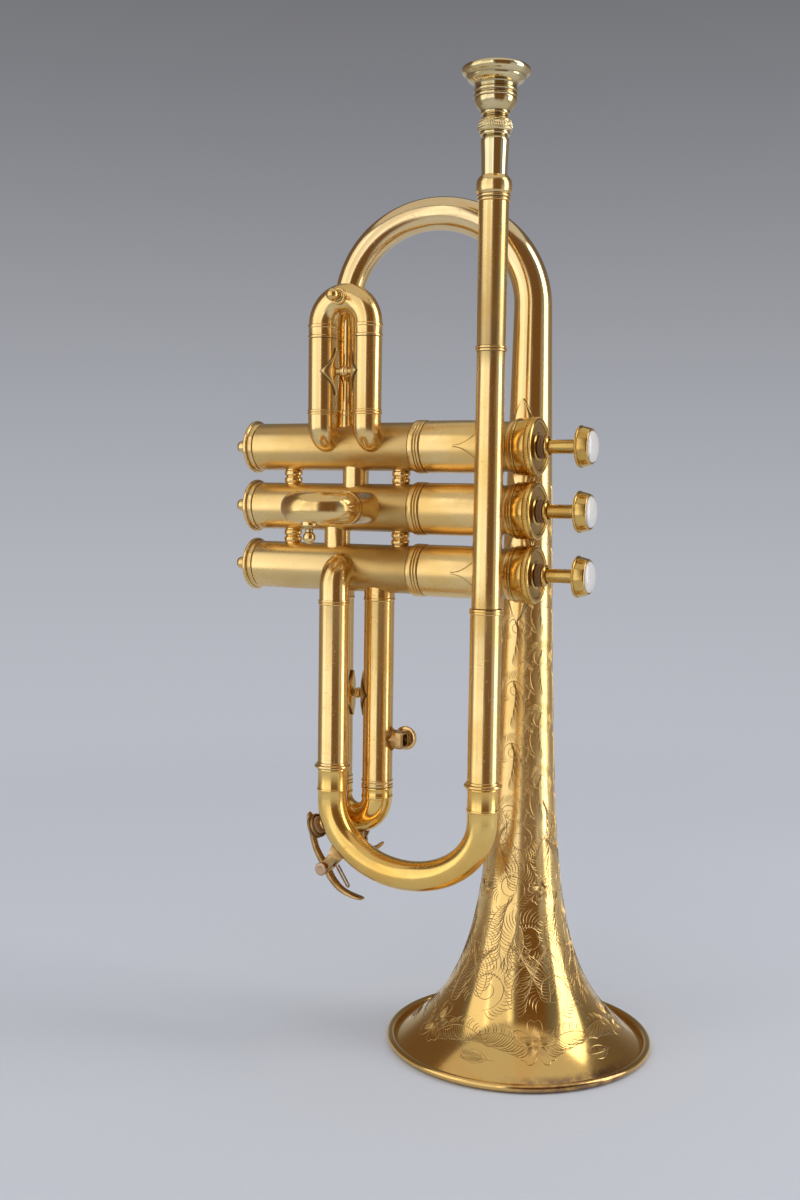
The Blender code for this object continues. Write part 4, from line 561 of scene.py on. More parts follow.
def chain(*parts):
    """Stations of several stretches, one after the other."""
    return tuple(np.concatenate(rows) for rows in zip(*parts))


def rings(stations, normal, sides):
    """Rings of a tube whose path lies in the plane with this normal."""
    points, ahead, radius = stations
    turn = around(sides)
    side = np.cross(ahead, normal)
    spoke = np.cos(turn)[None, :, None] * normal + np.sin(turn)[None, :, None] * side[:, None]
    return points[:, None] + radius[:, None, None] * spoke


def seat(ring, heading, centre, axis, radius):
    """Slide a ring's points along the heading until they lie on the near side of a cylinder."""
    arm = ring - centre
    arm = arm - (arm @ axis)[:, None] * axis
    reach = arm @ heading
    depth = np.maximum(reach ** 2 - (arm ** 2).sum(1) + radius ** 2, 0)
    return ring - heading * (reach + np.sqrt(depth))[:, None]


def valve_axis(k):
    """A point on the axis of valve k."""
    return np.array([0.0, VALVE_Y, VALVE_Z[k]])


def on_casing(ring, heading, k):
    """Seat a ring on casing k, sunk just under its skin."""
    return seat(ring, heading, valve_axis(k), X, CASING_RADIUS - 0.05)


def walled(outer, inner):
    """A tube's skin and bore as one grid whose rows run round."""
    return np.concatenate([outer, inner[::-1]]), True, None


def bell_radius(z):
    """Outer radius of the bell at height z."""
    flare = (FLARE_LENGTH / (z + FLARE_LENGTH)) ** FLARE_POWER
    return BELL_PIPE - BELL_TAPER * z + (BELL_MOUTH - BELL_PIPE) * flare


def bell_path():
    """The bell's outer and inner stations from the rim to the first casing."""
    turn = np.radians(np.linspace(-62, 196, RIM_STEPS))
    wire = np.stack([RIM_WIRE * (1 + np.sin(turn)), RIM_RING + RIM_WIRE * np.cos(turn)], 1)
    foot = np.array([[0.0, RIM_FOOT], [0.0, RIM_FOOT + 0.6], [0.0, RIM_RING]])
    height = RIM_MEETS + (BOW_START - RIM_MEETS) * np.linspace(0, 1, 130)[:-1] ** 2.2
    outer = np.stack([height, bell_radius(height)], 1)
    slope = (bell_radius(height + 0.01) - bell_radius(height - 0.01)) / 0.02
    lean = np.sqrt(1 + slope ** 2)
    inner = np.stack([height + BELL_WALL * slope / lean, bell_radius(height) - BELL_WALL / lean], 1)
    return np.concatenate([foot, wire, outer]), inner


def bell():
    """Flare with its rolled rim, pipe, bow and ferrule, outside and inside."""
    outer, inner = bell_path()
    normal = unit(np.cross(Z, BELL_LEG))
    middle = BELL_LEG / 2 + Z * BOW_START
    first = float(bell_radius(BOW_START))
    top = BELL_LEG + Z * BOW_START
    drop = BOW_START - BELL_FERRULE_TOP
    ferrule = soften([(0.1, BOW_END_RADIUS), (drop - 0.1, BOW_END_RADIUS), (drop, BELL_FERRULE_RADIUS),
                      (drop + 1.6, BELL_FERRULE_RADIUS), (drop + 1.8, BELL_FERRULE_RADIUS - 0.2),
                      (drop + 2.0, BELL_FERRULE_RADIUS),
                      (BOW_START - VALVE_Z[0] - 9, BELL_FERRULE_RADIUS)], 0.2)
    bow = bend(middle, -BELL_LEG / 2, Z, 180, 90, first, BOW_END_RADIUS)
    skin = chain(straight(np.zeros(3), Z, outer), bow, straight(top, -Z, ferrule))
    end = straight(top, -Z, [(BOW_START - VALVE_Z[0] - 9, BOW_END_RADIUS - BELL_WALL)])
    bore = chain(straight(np.zeros(3), Z, inner),
                 bend(middle, -BELL_LEG / 2, Z, 180, 90, first - BELL_WALL, BOW_END_RADIUS - BELL_WALL), end)
    outside = rings(skin, normal, BELL_SIDES)
    inside = rings(bore, normal, BELL_SIDES)
    outside[-1] = on_casing(outside[-1], -Z, 0)
    inside[-1] = on_casing(inside[-1], -Z, 0)
    grid, closed, _ = walled(outside, inside)
    # Painted groove shadow: the end of the rolled rim's wire and the start of the flare, where the bead meets
    # the flare, are darkened.
    grime_and_shade = np.zeros(len(grid))
    foot = 3 + RIM_STEPS
    grime_and_shade[foot - 6:foot + 3] = (0.2, 0.45, 0.7, 0.9, 1.0, 1.0, 1.0, 0.6, 0.2)
    piece("bell_body", [(grid, closed, grime_and_shade)], "bell", ["bell"])


def on_bell(run, turn, lift):
    """Points on the bell by distance up its skin from the rim and turn round its axis, lifted off the skin."""
    height = np.interp(run, SKIN_RUN, SKIN_HEIGHT)
    radius = bell_radius(height)
    slope = (bell_radius(height + 0.01) - bell_radius(height - 0.01)) / 0.02
    lean = np.sqrt(1 + slope ** 2)
    away = radius + lift / lean
    return np.stack([away * np.cos(turn), away * np.sin(turn), height - lift * slope / lean], -1)


def skin_table():
    """Distance up the bell's skin from the rim against height."""
    height = np.linspace(RIM_MEETS, BOW_START, 1600)
    step = np.hypot(np.diff(height), np.diff(bell_radius(height)))
    return np.concatenate([[0.0], np.cumsum(step)]), height


SKIN_RUN, SKIN_HEIGHT = skin_table()


def resampled(points, count):
    """A stroke's points taken again at even steps."""
    points = np.asarray(points, float)
    reach = np.concatenate([[0.0], np.cumsum(np.linalg.norm(np.diff(points, axis=0), axis=1))])
    even = np.linspace(0, reach[-1], count)
    return np.stack([np.interp(even, reach, points[:, 0]), np.interp(even, reach, points[:, 1])], 1)


def arc(start, end, sag, count=6):
    """A bowed stroke between two points."""
    start, end = np.asarray(start, float), np.asarray(end, float)
    t = np.linspace(0, 1, count)[:, None]
    across = np.array([-(end - start)[1], (end - start)[0]])
    return start + (end - start) * t + across * sag * 4 * t * (1 - t)


def scroll():
    """Spiral with a fringe of curved strokes outside it and a shaded crescent inside."""
    t = np.linspace(0, 1, 44)
    turn = -0.6 * np.pi + 3.4 * np.pi * t
    size = (1 - 0.82 * t ** 0.9)
    strokes = [resampled(np.stack([size * np.cos(turn), size * np.sin(turn)], 1), 32)]
    for n in range(32):
        angle = -0.55 * np.pi + n * 0.05 * np.pi
        root = np.array([np.cos(angle), np.sin(angle)]) * (1.04 - 0.006 * n)
        reach = 1.75 - 0.022 * abs(n - 15) + 0.12 * (n % 4 == 0)
        tip = np.array([np.cos(angle + 0.34), np.sin(angle + 0.34)]) * reach
        strokes.append(arc(root, tip, -0.16))
    for n in range(9):
        angle = 0.15 * np.pi + n * 0.07 * np.pi
        root = np.array([np.cos(angle), np.sin(angle)])
        strokes.append(arc(root * 0.86, root * (0.62 + 0.02 * abs(n - 4)), 0.1))
    return strokes


def frond():
    """Curved spine with a comb of long curved strokes on its outer side and short ones inside."""
    spine = arc((-0.2, -1.4), (0.5, 1.5), 0.22, 24)
    strokes = [spine]
    for n in range(24):
        root = spine[min(n, 23)]
        reach = (0.30 + 1.15 * math.sin(math.pi * (0.10 + 0.80 * n / 23))) * (1.0 - 0.16 * (n % 4 == 3))
        strokes.append(arc(root, root + reach * np.array([0.66, 0.74]), -0.22))
    for n in range(14):
        root = spine[2 + int(n * 1.5)]
        reach = 0.62 * math.sin(math.pi * (0.2 + 0.7 * n / 13))
        strokes.append(arc(root, root + reach * np.array([-0.72, 0.58]), 0.2))
    return strokes


def flower():
    """Five notched petals shaded by lines from the heart, and a ringed heart."""
    strokes = []
    for n in range(5):
        middle = 2 * math.pi * n / 5 + 0.3
        spread = np.linspace(-0.60, 0.60, 30)
        size = np.abs(np.cos(spread * 2.5)) ** 0.45 * (1 - 0.16 * np.exp(-(spread / 0.13) ** 2))
        petal = np.stack([size * np.cos(middle + spread), size * np.sin(middle + spread)], 1)
        strokes.append(resampled(petal, 24))
        for lean in np.linspace(-0.40, 0.40, 9):
            way = np.array([math.cos(middle + lean), math.sin(middle + lean)])
            strokes.append(arc(way * 0.2, way * (0.72 - 0.75 * abs(lean)), 0.3 * lean))
    for size in (0.10, 0.16):
        turn = np.linspace(0, 2 * np.pi, 14)
        strokes.append(np.stack([size * np.cos(turn), size * np.sin(turn)], 1))
    return strokes


def leaf():
    """Pointed leaf: two bowed edges, a rib and slanting veins."""
    strokes = [arc((0, -1), (0, 1), 0.24, 20), arc((0, -1), (0, 1), -0.24, 20),
               arc((0, -1.5), (0, 0.8), 0.03, 16)]
    for n in range(10):
        level = -0.72 + 0.15 * n
        reach = 0.42 * math.sqrt(max(0.0, 1 - level ** 2))
        strokes.append(arc((0, level), (reach, level + 0.30), 0.12))
        strokes.append(arc((0, level), (-reach, level + 0.30), -0.12))
    return strokes


def placed(strokes, run, degrees, lean, size, hand):
    """Strokes of one ornament carried to its place on the bell, as (run, turn) and widths."""
    spin = math.radians(lean)
    spun = np.array([[math.cos(spin), -math.sin(spin)], [math.sin(spin), math.cos(spin)]])
    out = []
    for stroke in strokes:
        flat = (stroke * (hand, 1)) @ spun.T * size
        up = np.clip(run + flat[:, 1], 1.2, SKIN_RUN[-1])
        radius = bell_radius(np.interp(up, SKIN_RUN, SKIN_HEIGHT))
        out.append(np.stack([up, math.radians(degrees) + flat[:, 0] / radius], 1))
    return out


def wriggle(degrees, low, high, pitch=1.1, swing=0.6):
    """Wriggle-cut border line up the pipe: a fine zigzag."""
    up = np.arange(low, high, pitch / 2)
    side = np.where(np.arange(len(up)) % 2 == 0, -swing, swing)
    radius = bell_radius(np.interp(up, SKIN_RUN, SKIN_HEIGHT))
    return np.stack([up, math.radians(degrees) + side / radius], 1)


def ornaments():
    """The engraving's layout: rings of flowers, leaves and scrolls on the flare, vines up the pipe."""
    strokes = []
    rows = ((flower, 19, 5, 6, 0, 11.0, 1), (frond, 18, 5, 27, -70, 8.6, 1), (frond, 18, 5, -15, 70, 8.6, -1),
            (leaf, 11, 5, 43, 88, 6.4, 1), (scroll, 40, 6, 26, 20, 9.0, 1), (frond, 43, 6, 0, -12, 9.6, 1),
            (frond, 47, 6, 12, 16, 8.4, -1), (scroll, 62, 5, 6, 0, 8.2, -1), (frond, 64, 5, 38, 6, 8.6, 1),
            (frond, 58, 5, 60, -26, 7.4, -1), (flower, 83, 4, 26, 0, 7.0, 1), (scroll, 84, 4, -20, 30, 7.0, 1),
            (frond, 97, 4, 34, 0, 8.0, 1), (frond, 93, 4, 66, 10, 7.4, -1), (scroll, 105, 4, -8, 170, 6.0, -1),
            (frond, 109, 4, 46, -10, 6.4, -1))
    for motif, run, count, offset, lean, size, hand in rows:
        for n in range(count):
            strokes += placed(motif(), run, FRONT + offset + 360 * n / count, lean, size, hand)
    vines = []
    for n, run in enumerate(np.arange(116.0, 262.0, 13.5)):
        side = 1 if n % 2 else -1
        vines += placed(scroll(), run, FRONT + 27 * side, 40 * side, 4.8, side)
        vines += placed(frond(), run + 5, FRONT - 20 * side, -15 * side, 6.0, -side)
        vines += placed(leaf(), run + 3, FRONT + 78 * side, -30 * side, 4.2, side)
        vines += placed(frond(), run - 3, FRONT - 80 * side, 10 * side, 5.4, side)
    return strokes, vines


FRONT = -63.7       # turn of the bell's side that faces the viewer


def bell_engraving():
    """Engraved strokes: each is a thin ridged strip, tapered at its ends, just proud of the skin."""
    flare, vines = ornaments()
    borders = [wriggle(FRONT + side, low, high) for side, low, high in
               ((-100, 108, 262), (104, 108, 262), (54, 108, 336), (60, 108, 336), (-52, 108, 262))]
    cut_strokes("bell_engraving_flare", [(stroke, 0.22) for stroke in flare])
    cut_strokes("bell_engraving_pipe", [(stroke, 0.22) for stroke in vines]
                + [(line, 0.14) for line in borders])


def cut_strokes(name, strokes):
    """One mesh of strokes given as (run, turn) points and a half width."""
    grids = []
    for stroke, width in strokes:
        radius = bell_radius(np.interp(stroke[:, 0], SKIN_RUN, SKIN_HEIGHT))
        ahead = np.gradient(stroke, axis=0) * np.stack([np.ones_like(radius), radius], 1)
        ahead = ahead / np.maximum(np.linalg.norm(ahead, axis=1, keepdims=True), 1e-9)
        taper = np.sin(np.linspace(0.06, 0.94, len(stroke)) * np.pi) ** 0.6
        side = np.stack([-ahead[:, 1], ahead[:, 0] / radius], 1) * (width * taper)[:, None]
        left, right = stroke + side, stroke - side
        lines = ((left, -0.02), (stroke, 0.09), (right, -0.02), (stroke, -0.10))
        points = np.stack([on_bell(line[:, 0], line[:, 1], lift) for line, lift in lines], 1)
        grids.append((points, False, None))
    piece(name, grids, "engraved")


def casing_profile():
    """Outer profile of a casing: plain tube, three-ringed band, barrel, neck and rim."""
    crest = BAND_START + BAND_LENGTH * np.array([0.0, 0.42, 0.50, 0.66, 0.74, 0.92, 1.0])
    return [(CASING_BOTTOM, CASING_RADIUS), (BAND_START - 0.4, CASING_RADIUS), (crest[0], BAND_RADIUS - 0.15),
            (crest[0] + 0.9, BAND_RADIUS + 0.05), (crest[1], BAND_RADIUS), (crest[2], BAND_RADIUS - 0.6),
            (crest[2] + 0.2, BAND_RADIUS), (crest[3], BAND_RADIUS), (crest[4], BAND_RADIUS - 0.6),
            (crest[4] + 0.2, BAND_RADIUS - 0.05), (crest[5], BAND_RADIUS - 0.1),
            (crest[6], BARREL_RADIUS - 0.3), (crest[6] + 0.5, BARREL_RADIUS),
            (BARREL_END - 6, BARREL_RADIUS + 0.05), (BARREL_END, BARREL_RADIUS - 0.1),
            ((BARREL_END + NECK_START) / 2, (BARREL_RADIUS + CASING_RADIUS) / 2), (NECK_START, CASING_RADIUS),
            (CASING_RIM[0], CASING_RADIUS), (CASING_RIM[0], CASING_RIM_RADIUS),
            (CASING_RIM[1], CASING_RIM_RADIUS), (CASING_RIM[1], SPIGOT_RADIUS), (CASING_TOP, SPIGOT_RADIUS),
            (CASING_TOP, CASING_BORE), (CASING_BOTTOM, CASING_BORE)]


def valve_casing(k):
    """A casing turned from its profile."""
    lathe(f"casing_{k + 1}", f"valve_casing_{k + 1}", valve_axis(k), X, casing_profile(), "across", 0.3,
          VALVE_SIDES, True)


def bottom_cap(k):
    """Cap with a lipped flange, a stepped dome and a nipple with a vent hole."""
    end = BOTTOM_FLANGE_END
    profile = [(NIPPLE_END + 2.5, 0.01), (NIPPLE_END + 2.5, 1.3), (NIPPLE_END, 1.3),
               (NIPPLE_END, NIPPLE_RADIUS - 0.5), (NIPPLE_END + 1.2, NIPPLE_RADIUS),
               (end - 2.6, NIPPLE_RADIUS), (end - 2.4, 5.0), (end - 1.6, 8.2), (end - 0.4, 10.2),
               (end - 0.2, 11.3), (end + 0.2, 11.75), (end + 1.3, 11.75), (end + 1.5, 11.2),
               (end + 1.7, 10.8), (BOTTOM_CAP_TOP - 0.6, 10.7), (BOTTOM_CAP_TOP, 10.5), (BOTTOM_CAP_TOP, 8.6),
               (BOTTOM_CAP_TOP + 2.0, 8.6), (BOTTOM_CAP_TOP + 2.0, 7.6), (end + 1.5, 7.6), (end + 1.5, 0.01)]
    lathe(f"base_cap_{k + 1}", f"bottom_cap_{k + 1}", valve_axis(k), X, profile, "polished", 0.25, VALVE_SIDES)


def milled(start, end, teeth, depth):
    """Milled edge: fine teeth round a band between two distances along the axis."""
    def ridges(along, turn):
        inside = (along > start) & (along < end)
        return inside * depth * (np.abs(np.cos(turn * teeth / 2)) - 0.6)
    return ridges


def diamond(start, end, teeth, depth):
    """Diamond knurl: two sets of slanting ridges crossed on a band."""
    def ridges(along, turn):
        inside = (along > start) & (along < end)
        slant = (along - start) * 0.55 * teeth / 6
        crossed = np.abs(np.cos(turn * teeth / 2 + slant)) * np.abs(np.cos(turn * teeth / 2 - slant))
        return inside * depth * (crossed - 0.4)
    return ridges


def top_cap(k):
    """Cap with a lip below, a milled band by its face, a dished face and a hub round the stem."""
    start, face, wide = TOP_CAP_START, TOP_CAP_FACE, TOP_CAP_RADIUS
    hole = STEM_RADIUS + 0.3
    profile = [(start, wide - 0.5), (start + 0.3, wide - 0.2), (start + 1.0, wide - 0.2),
               (start + 1.2, wide - 0.5), (start + 1.5, wide - 0.5), (start + 1.7, wide - 0.15),
               (face - 3.3, wide - 0.1), (face - 3.1, wide - 0.4), (face - 2.9, wide + 0.1),
               (face - 2.3, wide + 0.15), (face - 1.7, wide + 0.15), (face - 1.1, wide + 0.1),
               (face - 0.9, wide - 0.1), (face - 0.4, wide - 0.2), (face, wide - 0.9), (face, wide - 2.0),
               (face - 0.7, wide - 2.3), (face - 0.7, 6.0), (face - 0.2, 5.3), (face - 0.2, HUB_RADIUS - 0.3),
               (face + 2.75, HUB_RADIUS - 0.4), (face + 2.95, HUB_RADIUS - 0.1),
               (HUB_END - 0.7, HUB_RADIUS - 0.1), (HUB_END - 0.2, HUB_RADIUS - 0.7), (HUB_END, hole + 0.2),
               (HUB_END - 0.4, hole), (11.6, hole), (11.6, 10.7), (start, 10.7)]
    ridges = milled(face - 2.85, face - 1.15, 110, 0.22)
    lathe(f"cap_{k + 1}", f"top_cap_{k + 1}", valve_axis(k), X, profile, "amber", 0.2, 440, True, ridges)


def felt(k):
    """Felt ring with a rounded, slightly pressed section."""
    hole = HUB_RADIUS - 0.2
    profile = raised(TOP_CAP_FACE + 0.05, (0, 4.75), (0.6, 5.0), (1.15, 4.8), (1.3, 4.5), (1.45, 4.7),
                     (2.0, 4.9), (2.5, 4.6), (2.6, hole), (0, hole))
    lathe(f"felt_ring_{k + 1}", f"felt_{k + 1}", valve_axis(k), X, profile, "felt", 0.3, TUBE_SIDES, True,
          steps=4)


def finger_button(k):
    """Stem, and button with a rolled flange and a tapering bowl that holds the pearl."""
    begin = BUTTON_START
    profile = [(PISTON_TOP - 3, 0.01), (PISTON_TOP - 3, 1.7), (PISTON_TOP + 0.3, 1.7),
               (PISTON_TOP + 0.3, STEM_RADIUS), (begin - 0.4, STEM_RADIUS), (begin - 0.1, STEM_RADIUS + 0.5),
               (begin, 7.6), (begin + 0.35, 8.55), (begin + 0.75, 8.8), (begin + 1.15, 8.6),
               (begin + 1.3, 8.2), (begin + 1.6, 8.2), (begin + 2.2, 8.25), (BUTTON_TOP - 0.4, 7.45),
               (BUTTON_TOP, 7.15), (BUTTON_TOP, 6.65), (BUTTON_TOP - 2.0, 6.65), (BUTTON_TOP - 2.0, 0.01)]
    lathe(f"button_{k + 1}", f"finger_button_{k + 1}", valve_axis(k), X, profile, "amber", 0.25, VALVE_SIDES,
          body=f"valve_{k + 1}")
    turn = np.radians(np.linspace(0, 89.5, 16))
    dome = np.stack([BUTTON_TOP + PEARL_DOME * np.sin(turn) - 0.1, PEARL_RADIUS * np.cos(turn)], 1)
    shell = np.concatenate([[(BUTTON_TOP - 1.7, 0.01), (BUTTON_TOP - 1.7, PEARL_RADIUS)], dome])
    piece(f"pearl_disc_{k + 1}", [turned(valve_axis(k), X, shell, TUBE_SIDES)], "pearl", [f"pearl_{k + 1}"],
          f"valve_{k + 1}")


def crossover(k):
    """Short tube seated on two casings."""
    top = valve_axis(k) + X * CROSSOVER_X[k]
    turn = around(TUBE_SIDES)[:, None]
    skin = []
    for radius in (5.8, 5.2):
        ring = top + radius * (X * np.cos(turn) + Y * np.sin(turn))
        skin.append(np.stack([on_casing(ring, Z, k), on_casing(ring - Z * VALVE_PITCH, -Z, k + 1)]))
    piece(f"crossover_{k + 1}", [walled(*skin)], "polished", [f"crossover_tube_{k + 1}_{k + 2}"])


def casing_post(k, n):
    """Turned post with two beads and a waist between two casings."""
    middle = valve_axis(k) + X * POST_X[n] - Z * VALVE_PITCH / 2
    turn = around(SMALL_SIDES)[:, None]
    ring = X * np.cos(turn) + Y * np.sin(turn)
    profile = soften([(-2.9, 3.4), (-2.5, 3.9), (-1.5, 4.1), (-0.5, 3.9), (-0.2, 3.3), (0.2, 3.3), (0.5, 3.9),
                      (1.5, 4.1), (2.5, 3.9), (2.9, 3.4)], 0.3)
    waist = [middle - Z * d + ring * r for d, r in profile]
    upper = [on_casing(middle + ring * r, Z, k) for r in (0.02, 3.4)]
    lower = [on_casing(middle + ring * r, -Z, k + 1) for r in (3.4, 0.02)]
    piece(f"post_{k + 1}_{n + 1}", [(np.stack(upper + waist + lower), False, None)], "polished",
          [f"casing_post_{k + 1}_{n + 1}"])


def leadpipe_radius(z):
    """Outer radius of the leadpipe, slimmest at its waist."""
    return np.interp(z, (LEADPIPE_START, LEADPIPE_WAIST, LEADPIPE_TOP), (6.2, 5.75, 6.1))


def leadpipe():
    """Tapered pipe with a double ring, and the bulged receiver at its top."""
    ring = LEADPIPE_RING
    heights = np.array([LEADPIPE_START, 230.0, 262.0, LEADPIPE_WAIST, ring])
    lower = np.stack([heights, leadpipe_radius(heights)], 1)
    beads = raised(ring, (0, 6.45), (0.7, 6.5), (0.9, 6.15), (1.1, 6.15), (1.3, 6.5), (2.0, 6.45))
    upper = [(ring + 2.0, 5.82), (LEADPIPE_TOP, 6.1), (LEADPIPE_TOP, 5.6), (LEADPIPE_WAIST, 5.25),
             (LEADPIPE_START, 5.7)]
    profile = np.concatenate([lower, beads, upper])
    lathe("lead_pipe", "leadpipe", LEADPIPE_LEG, Z, profile, "upright", 0.2, TUBE_SIDES, True)
    low = LEADPIPE_TOP + 0.05
    profile = raised(low, (0, 6.15), (0.1, 6.6), (0.8, 6.7), (1.0, 6.3), (1.4, 6.3), (1.6, 6.75), (2.3, 6.8),
                     (2.6, 6.45), (3.0, 6.6), (3.8, 7.05), (5.4, 7.25), (7.2, 7.2), (8.4, 6.85), (9.3, 6.3),
                     (9.8, 5.8))
    profile += [(RECEIVER_TOP, 5.6), (RECEIVER_TOP, 5.45), (low, 5.3)]
    lathe("receiver", "mouthpiece_receiver", LEADPIPE_LEG, Z, profile, "upright", 0.35, TUBE_SIDES, True)


def mouthpiece():
    """Rounded rim, beaded cup, throat, knurled ring and tapering shank, bored right through."""
    base = LEADPIPE_LEG + Z * RECEIVER_TOP
    outer = [(-21.0, 4.7), (0.0, 5.25), (8.0, 5.45), (12.4, 5.7), (13.6, 5.75), (14.4, 5.5), (14.9, 5.0),
             (15.4, 4.85), (15.6, 5.7), (15.9, 6.1), (16.6, 6.15), (16.9, 5.8), (17.05, 6.3), (17.6, 6.75),
             (18.4, 6.85), (19.4, 6.75), (20.4, 6.55), (21.2, 6.3), (21.9, 5.9), (22.5, 5.35), (22.9, 4.95),
             (23.4, 4.95), (23.7, 5.5), (24.0, 5.85), (24.5, 5.85), (24.8, 5.75), (25.6, 6.4), (26.5, 7.25),
             (27.3, 7.75), (28.1, 8.15), (28.9, 8.4), (29.7, 8.5), (30.0, 8.4), (30.25, 8.8), (30.7, 8.95),
             (31.15, 8.8), (31.45, 8.35), (32.05, 8.35), (32.35, 8.8), (32.8, 8.95), (33.25, 8.8),
             (33.55, 8.3), (35.0, 8.3), (35.5, 8.7), (36.1, 9.9), (36.7, 10.9), (37.4, 11.5), (38.2, 11.8),
             (38.8, 12.5), (39.4, 13.35), (40.2, 13.78), (40.9, 13.82)]
    rim = [(41.6, 13.6), (42.15, 12.9), (42.4, 12.0), (42.45, 11.0), (42.3, 10.0), (41.9, 9.2), (41.0, 8.4)]
    inner = [(39.0, 7.9), (35.2, 7.1), (30.7, 5.2), (27.3, 3.0), (25.7, 2.0), (24.4, 1.85), (21.4, 1.85),
             (-21.0, 4.1)]
    ridges = diamond(17.5, 21.7, 64, 0.3)
    lathe("mouthpiece_body", "mouthpiece", base, Z, outer + rim + inner, "pale", 0.3, 256, True, ridges,
          "mouthpiece_body")


def crook(name, node, body, middle, across, away, half, depth, radius, leg, engaged, ferrule, drop, finish):
    """A slide's moving half: legs, ringed ferrules and the bow, with its bore."""
    top = -(drop + ferrule)
    lip = radius + 0.35
    marks = [(top - engaged, leg), (top - 0.05, leg), (top, lip), (top + 0.9, lip), (top + 1.1, lip - 0.35)]
    marks += [(-drop - 1.5, radius + 0.1), (-drop - 1.3, lip), (-drop - 0.2, lip), (-drop, radius)]
    if ferrule < 3:
        marks = [(top - engaged, leg), (top - 0.05, leg), (top, lip), (-drop - 0.2, lip), (-drop, radius)]
    marks = soften(marks + [(0.0 if drop else 0.05, radius)], 0.15)
    start = middle + across * half
    end = middle - across * half
    down = straight(start, away, marks[:-1])
    points, _, size = straight(end, away, marks[:-1][::-1])
    up = (points, np.repeat(-away[None], len(points), 0), size)
    skin = chain(down, half_ellipse(middle, across, away, half, depth, 64, radius), up)
    first = straight(start, away, [(top - engaged, leg - WALL)])
    last = (end[None] + away * (top - engaged), -away[None], np.array([leg - WALL]))
    bore = chain(first, half_ellipse(middle, across, away, half, depth, 64, leg - WALL), last)
    normal = np.cross(across, away)
    grid = walled(rings(skin, normal, TUBE_SIDES), rings(bore, normal, TUBE_SIDES))
    piece(name, [grid], finish, [node], body)


def knob(name, body, middle, axis, tube):
    """Turned pull knob: stepped collar, waist and ball."""
    ball = tube + 8.2 - 2.7
    turn = np.radians(np.linspace(-52, 89.5, 18))
    collar = [(tube * 0.75, 0.01), (tube * 0.75, 3.6), (tube + 0.5, 3.6), (tube + 0.9, 3.3),
              (tube + 1.1, 2.4), (tube + 1.6, 2.3), (tube + 1.9, 1.7), (ball - 2.5, 1.65)]
    sphere = np.stack([ball + 2.7 * np.sin(turn), 2.7 * np.cos(turn)], 1)
    profile = np.concatenate([soften(collar, 0.25), sphere])
    piece(name, [turned(middle, axis, profile, SMALL_SIDES)], "polished", body=body)


def sleeve(name, node, foot, heading, marks, bore, normal, finish, seat_k=None, elbow=None):
    """A straight sleeve with its rings, running on into an elbow or onto a casing."""
    marks = soften(marks, 0.18)
    skin = straight(foot, heading, marks)
    hollow = straight(foot, heading, [(marks[0][0], bore), (marks[-1][0], bore)])
    if elbow:
        centre, arm, ahead, radius = elbow
        skin = chain(skin, bend(centre, arm, ahead, 90, 20, radius, radius))
        hollow = chain(hollow, bend(centre, arm, ahead, 90, 20, bore, bore))
    outside = rings(skin, normal, TUBE_SIDES)
    inside = rings(hollow, normal, TUBE_SIDES)
    if seat_k is not None:
        way = skin[1][-1]
        outside[-1] = on_casing(outside[-1], way, seat_k)
        inside[-1] = on_casing(inside[-1], way, seat_k)
    piece(name, [walled(outside, inside)], finish, [node])


def valve_slide(k, foot, middle, away, half, r, marks, engaged, ferrule, finish, bow_finish, elbow=None):
    """Two sleeves on casing k, either side of a foot, and the crook that slides away out of them."""
    label = ("first", "second", "third")[k]
    for n, side in enumerate((-X * half, X * half)):
        turn = (elbow[0] + side, *elbow[1:]) if elbow else None
        sleeve(f"{label}_sleeve_{n + 1}", f"{label}_slide_sleeve_{n + 1}", foot + side, -away, marks, r - WALL,
               X, finish, k, turn)
    crook(f"{label}_crook", f"{label}_slide_crook", f"{label}_slide", middle, X, away, half, half, r, r - 0.85,
          engaged, ferrule, 0, bow_finish)


def first_slide():
    """First slide: two sleeves with elbows onto the first casing, and the crook with its knob."""
    level = VALVE_Z[0] + 3.2 + 6.5
    length = FIRST_SLEEVE_END - level
    r = FIRST_RADIUS
    double = raised(FIRST_SLEEVE_END - VALVE_Z[0] - 15.4, (0, r), (0.05, r + 0.35), (0.75, r + 0.35),
                    (0.9, r + 0.05), (1.1, r + 0.05), (1.25, r + 0.35), (1.95, r + 0.35), (2.0, r))
    marks = [(0, r + 0.05)] + double + [(length - 0.05, r)]
    foot = np.array([FIRST_X, FIRST_Y, FIRST_SLEEVE_END])
    centre = np.array([FIRST_X, FIRST_Y + 6.5, level])
    middle = np.array([FIRST_X, FIRST_Y, FIRST_LEVEL])
    valve_slide(0, foot, middle, Z, FIRST_BEND, r, marks, 29.0, 5.7, "upright", "upright",
                (centre, -Y * 6.5, -Z, r))
    knob("first_slide_knob", "first_slide", middle + Z * FIRST_BEND, -Y, r)


def second_slide():
    """Second slide: two short sleeves on the second casing, and the crook with its knob."""
    r = SECOND_RADIUS
    marks = [(0, r + 0.3), (1.2, r + 0.35), (1.4, r), (16.2, r)]
    foot = np.array([SECOND_X, SECOND_SLEEVE_Y, VALVE_Z[1]])
    middle = np.array([SECOND_X, SECOND_BEND_Y, VALVE_Z[1]])
    valve_slide(1, foot, middle, -Y, SECOND_BEND, r, marks, 15.0, 1.6, "polished", "polished")
    knob("second_slide_knob", "second_slide", middle - Y * SECOND_BEND, -Z, r)


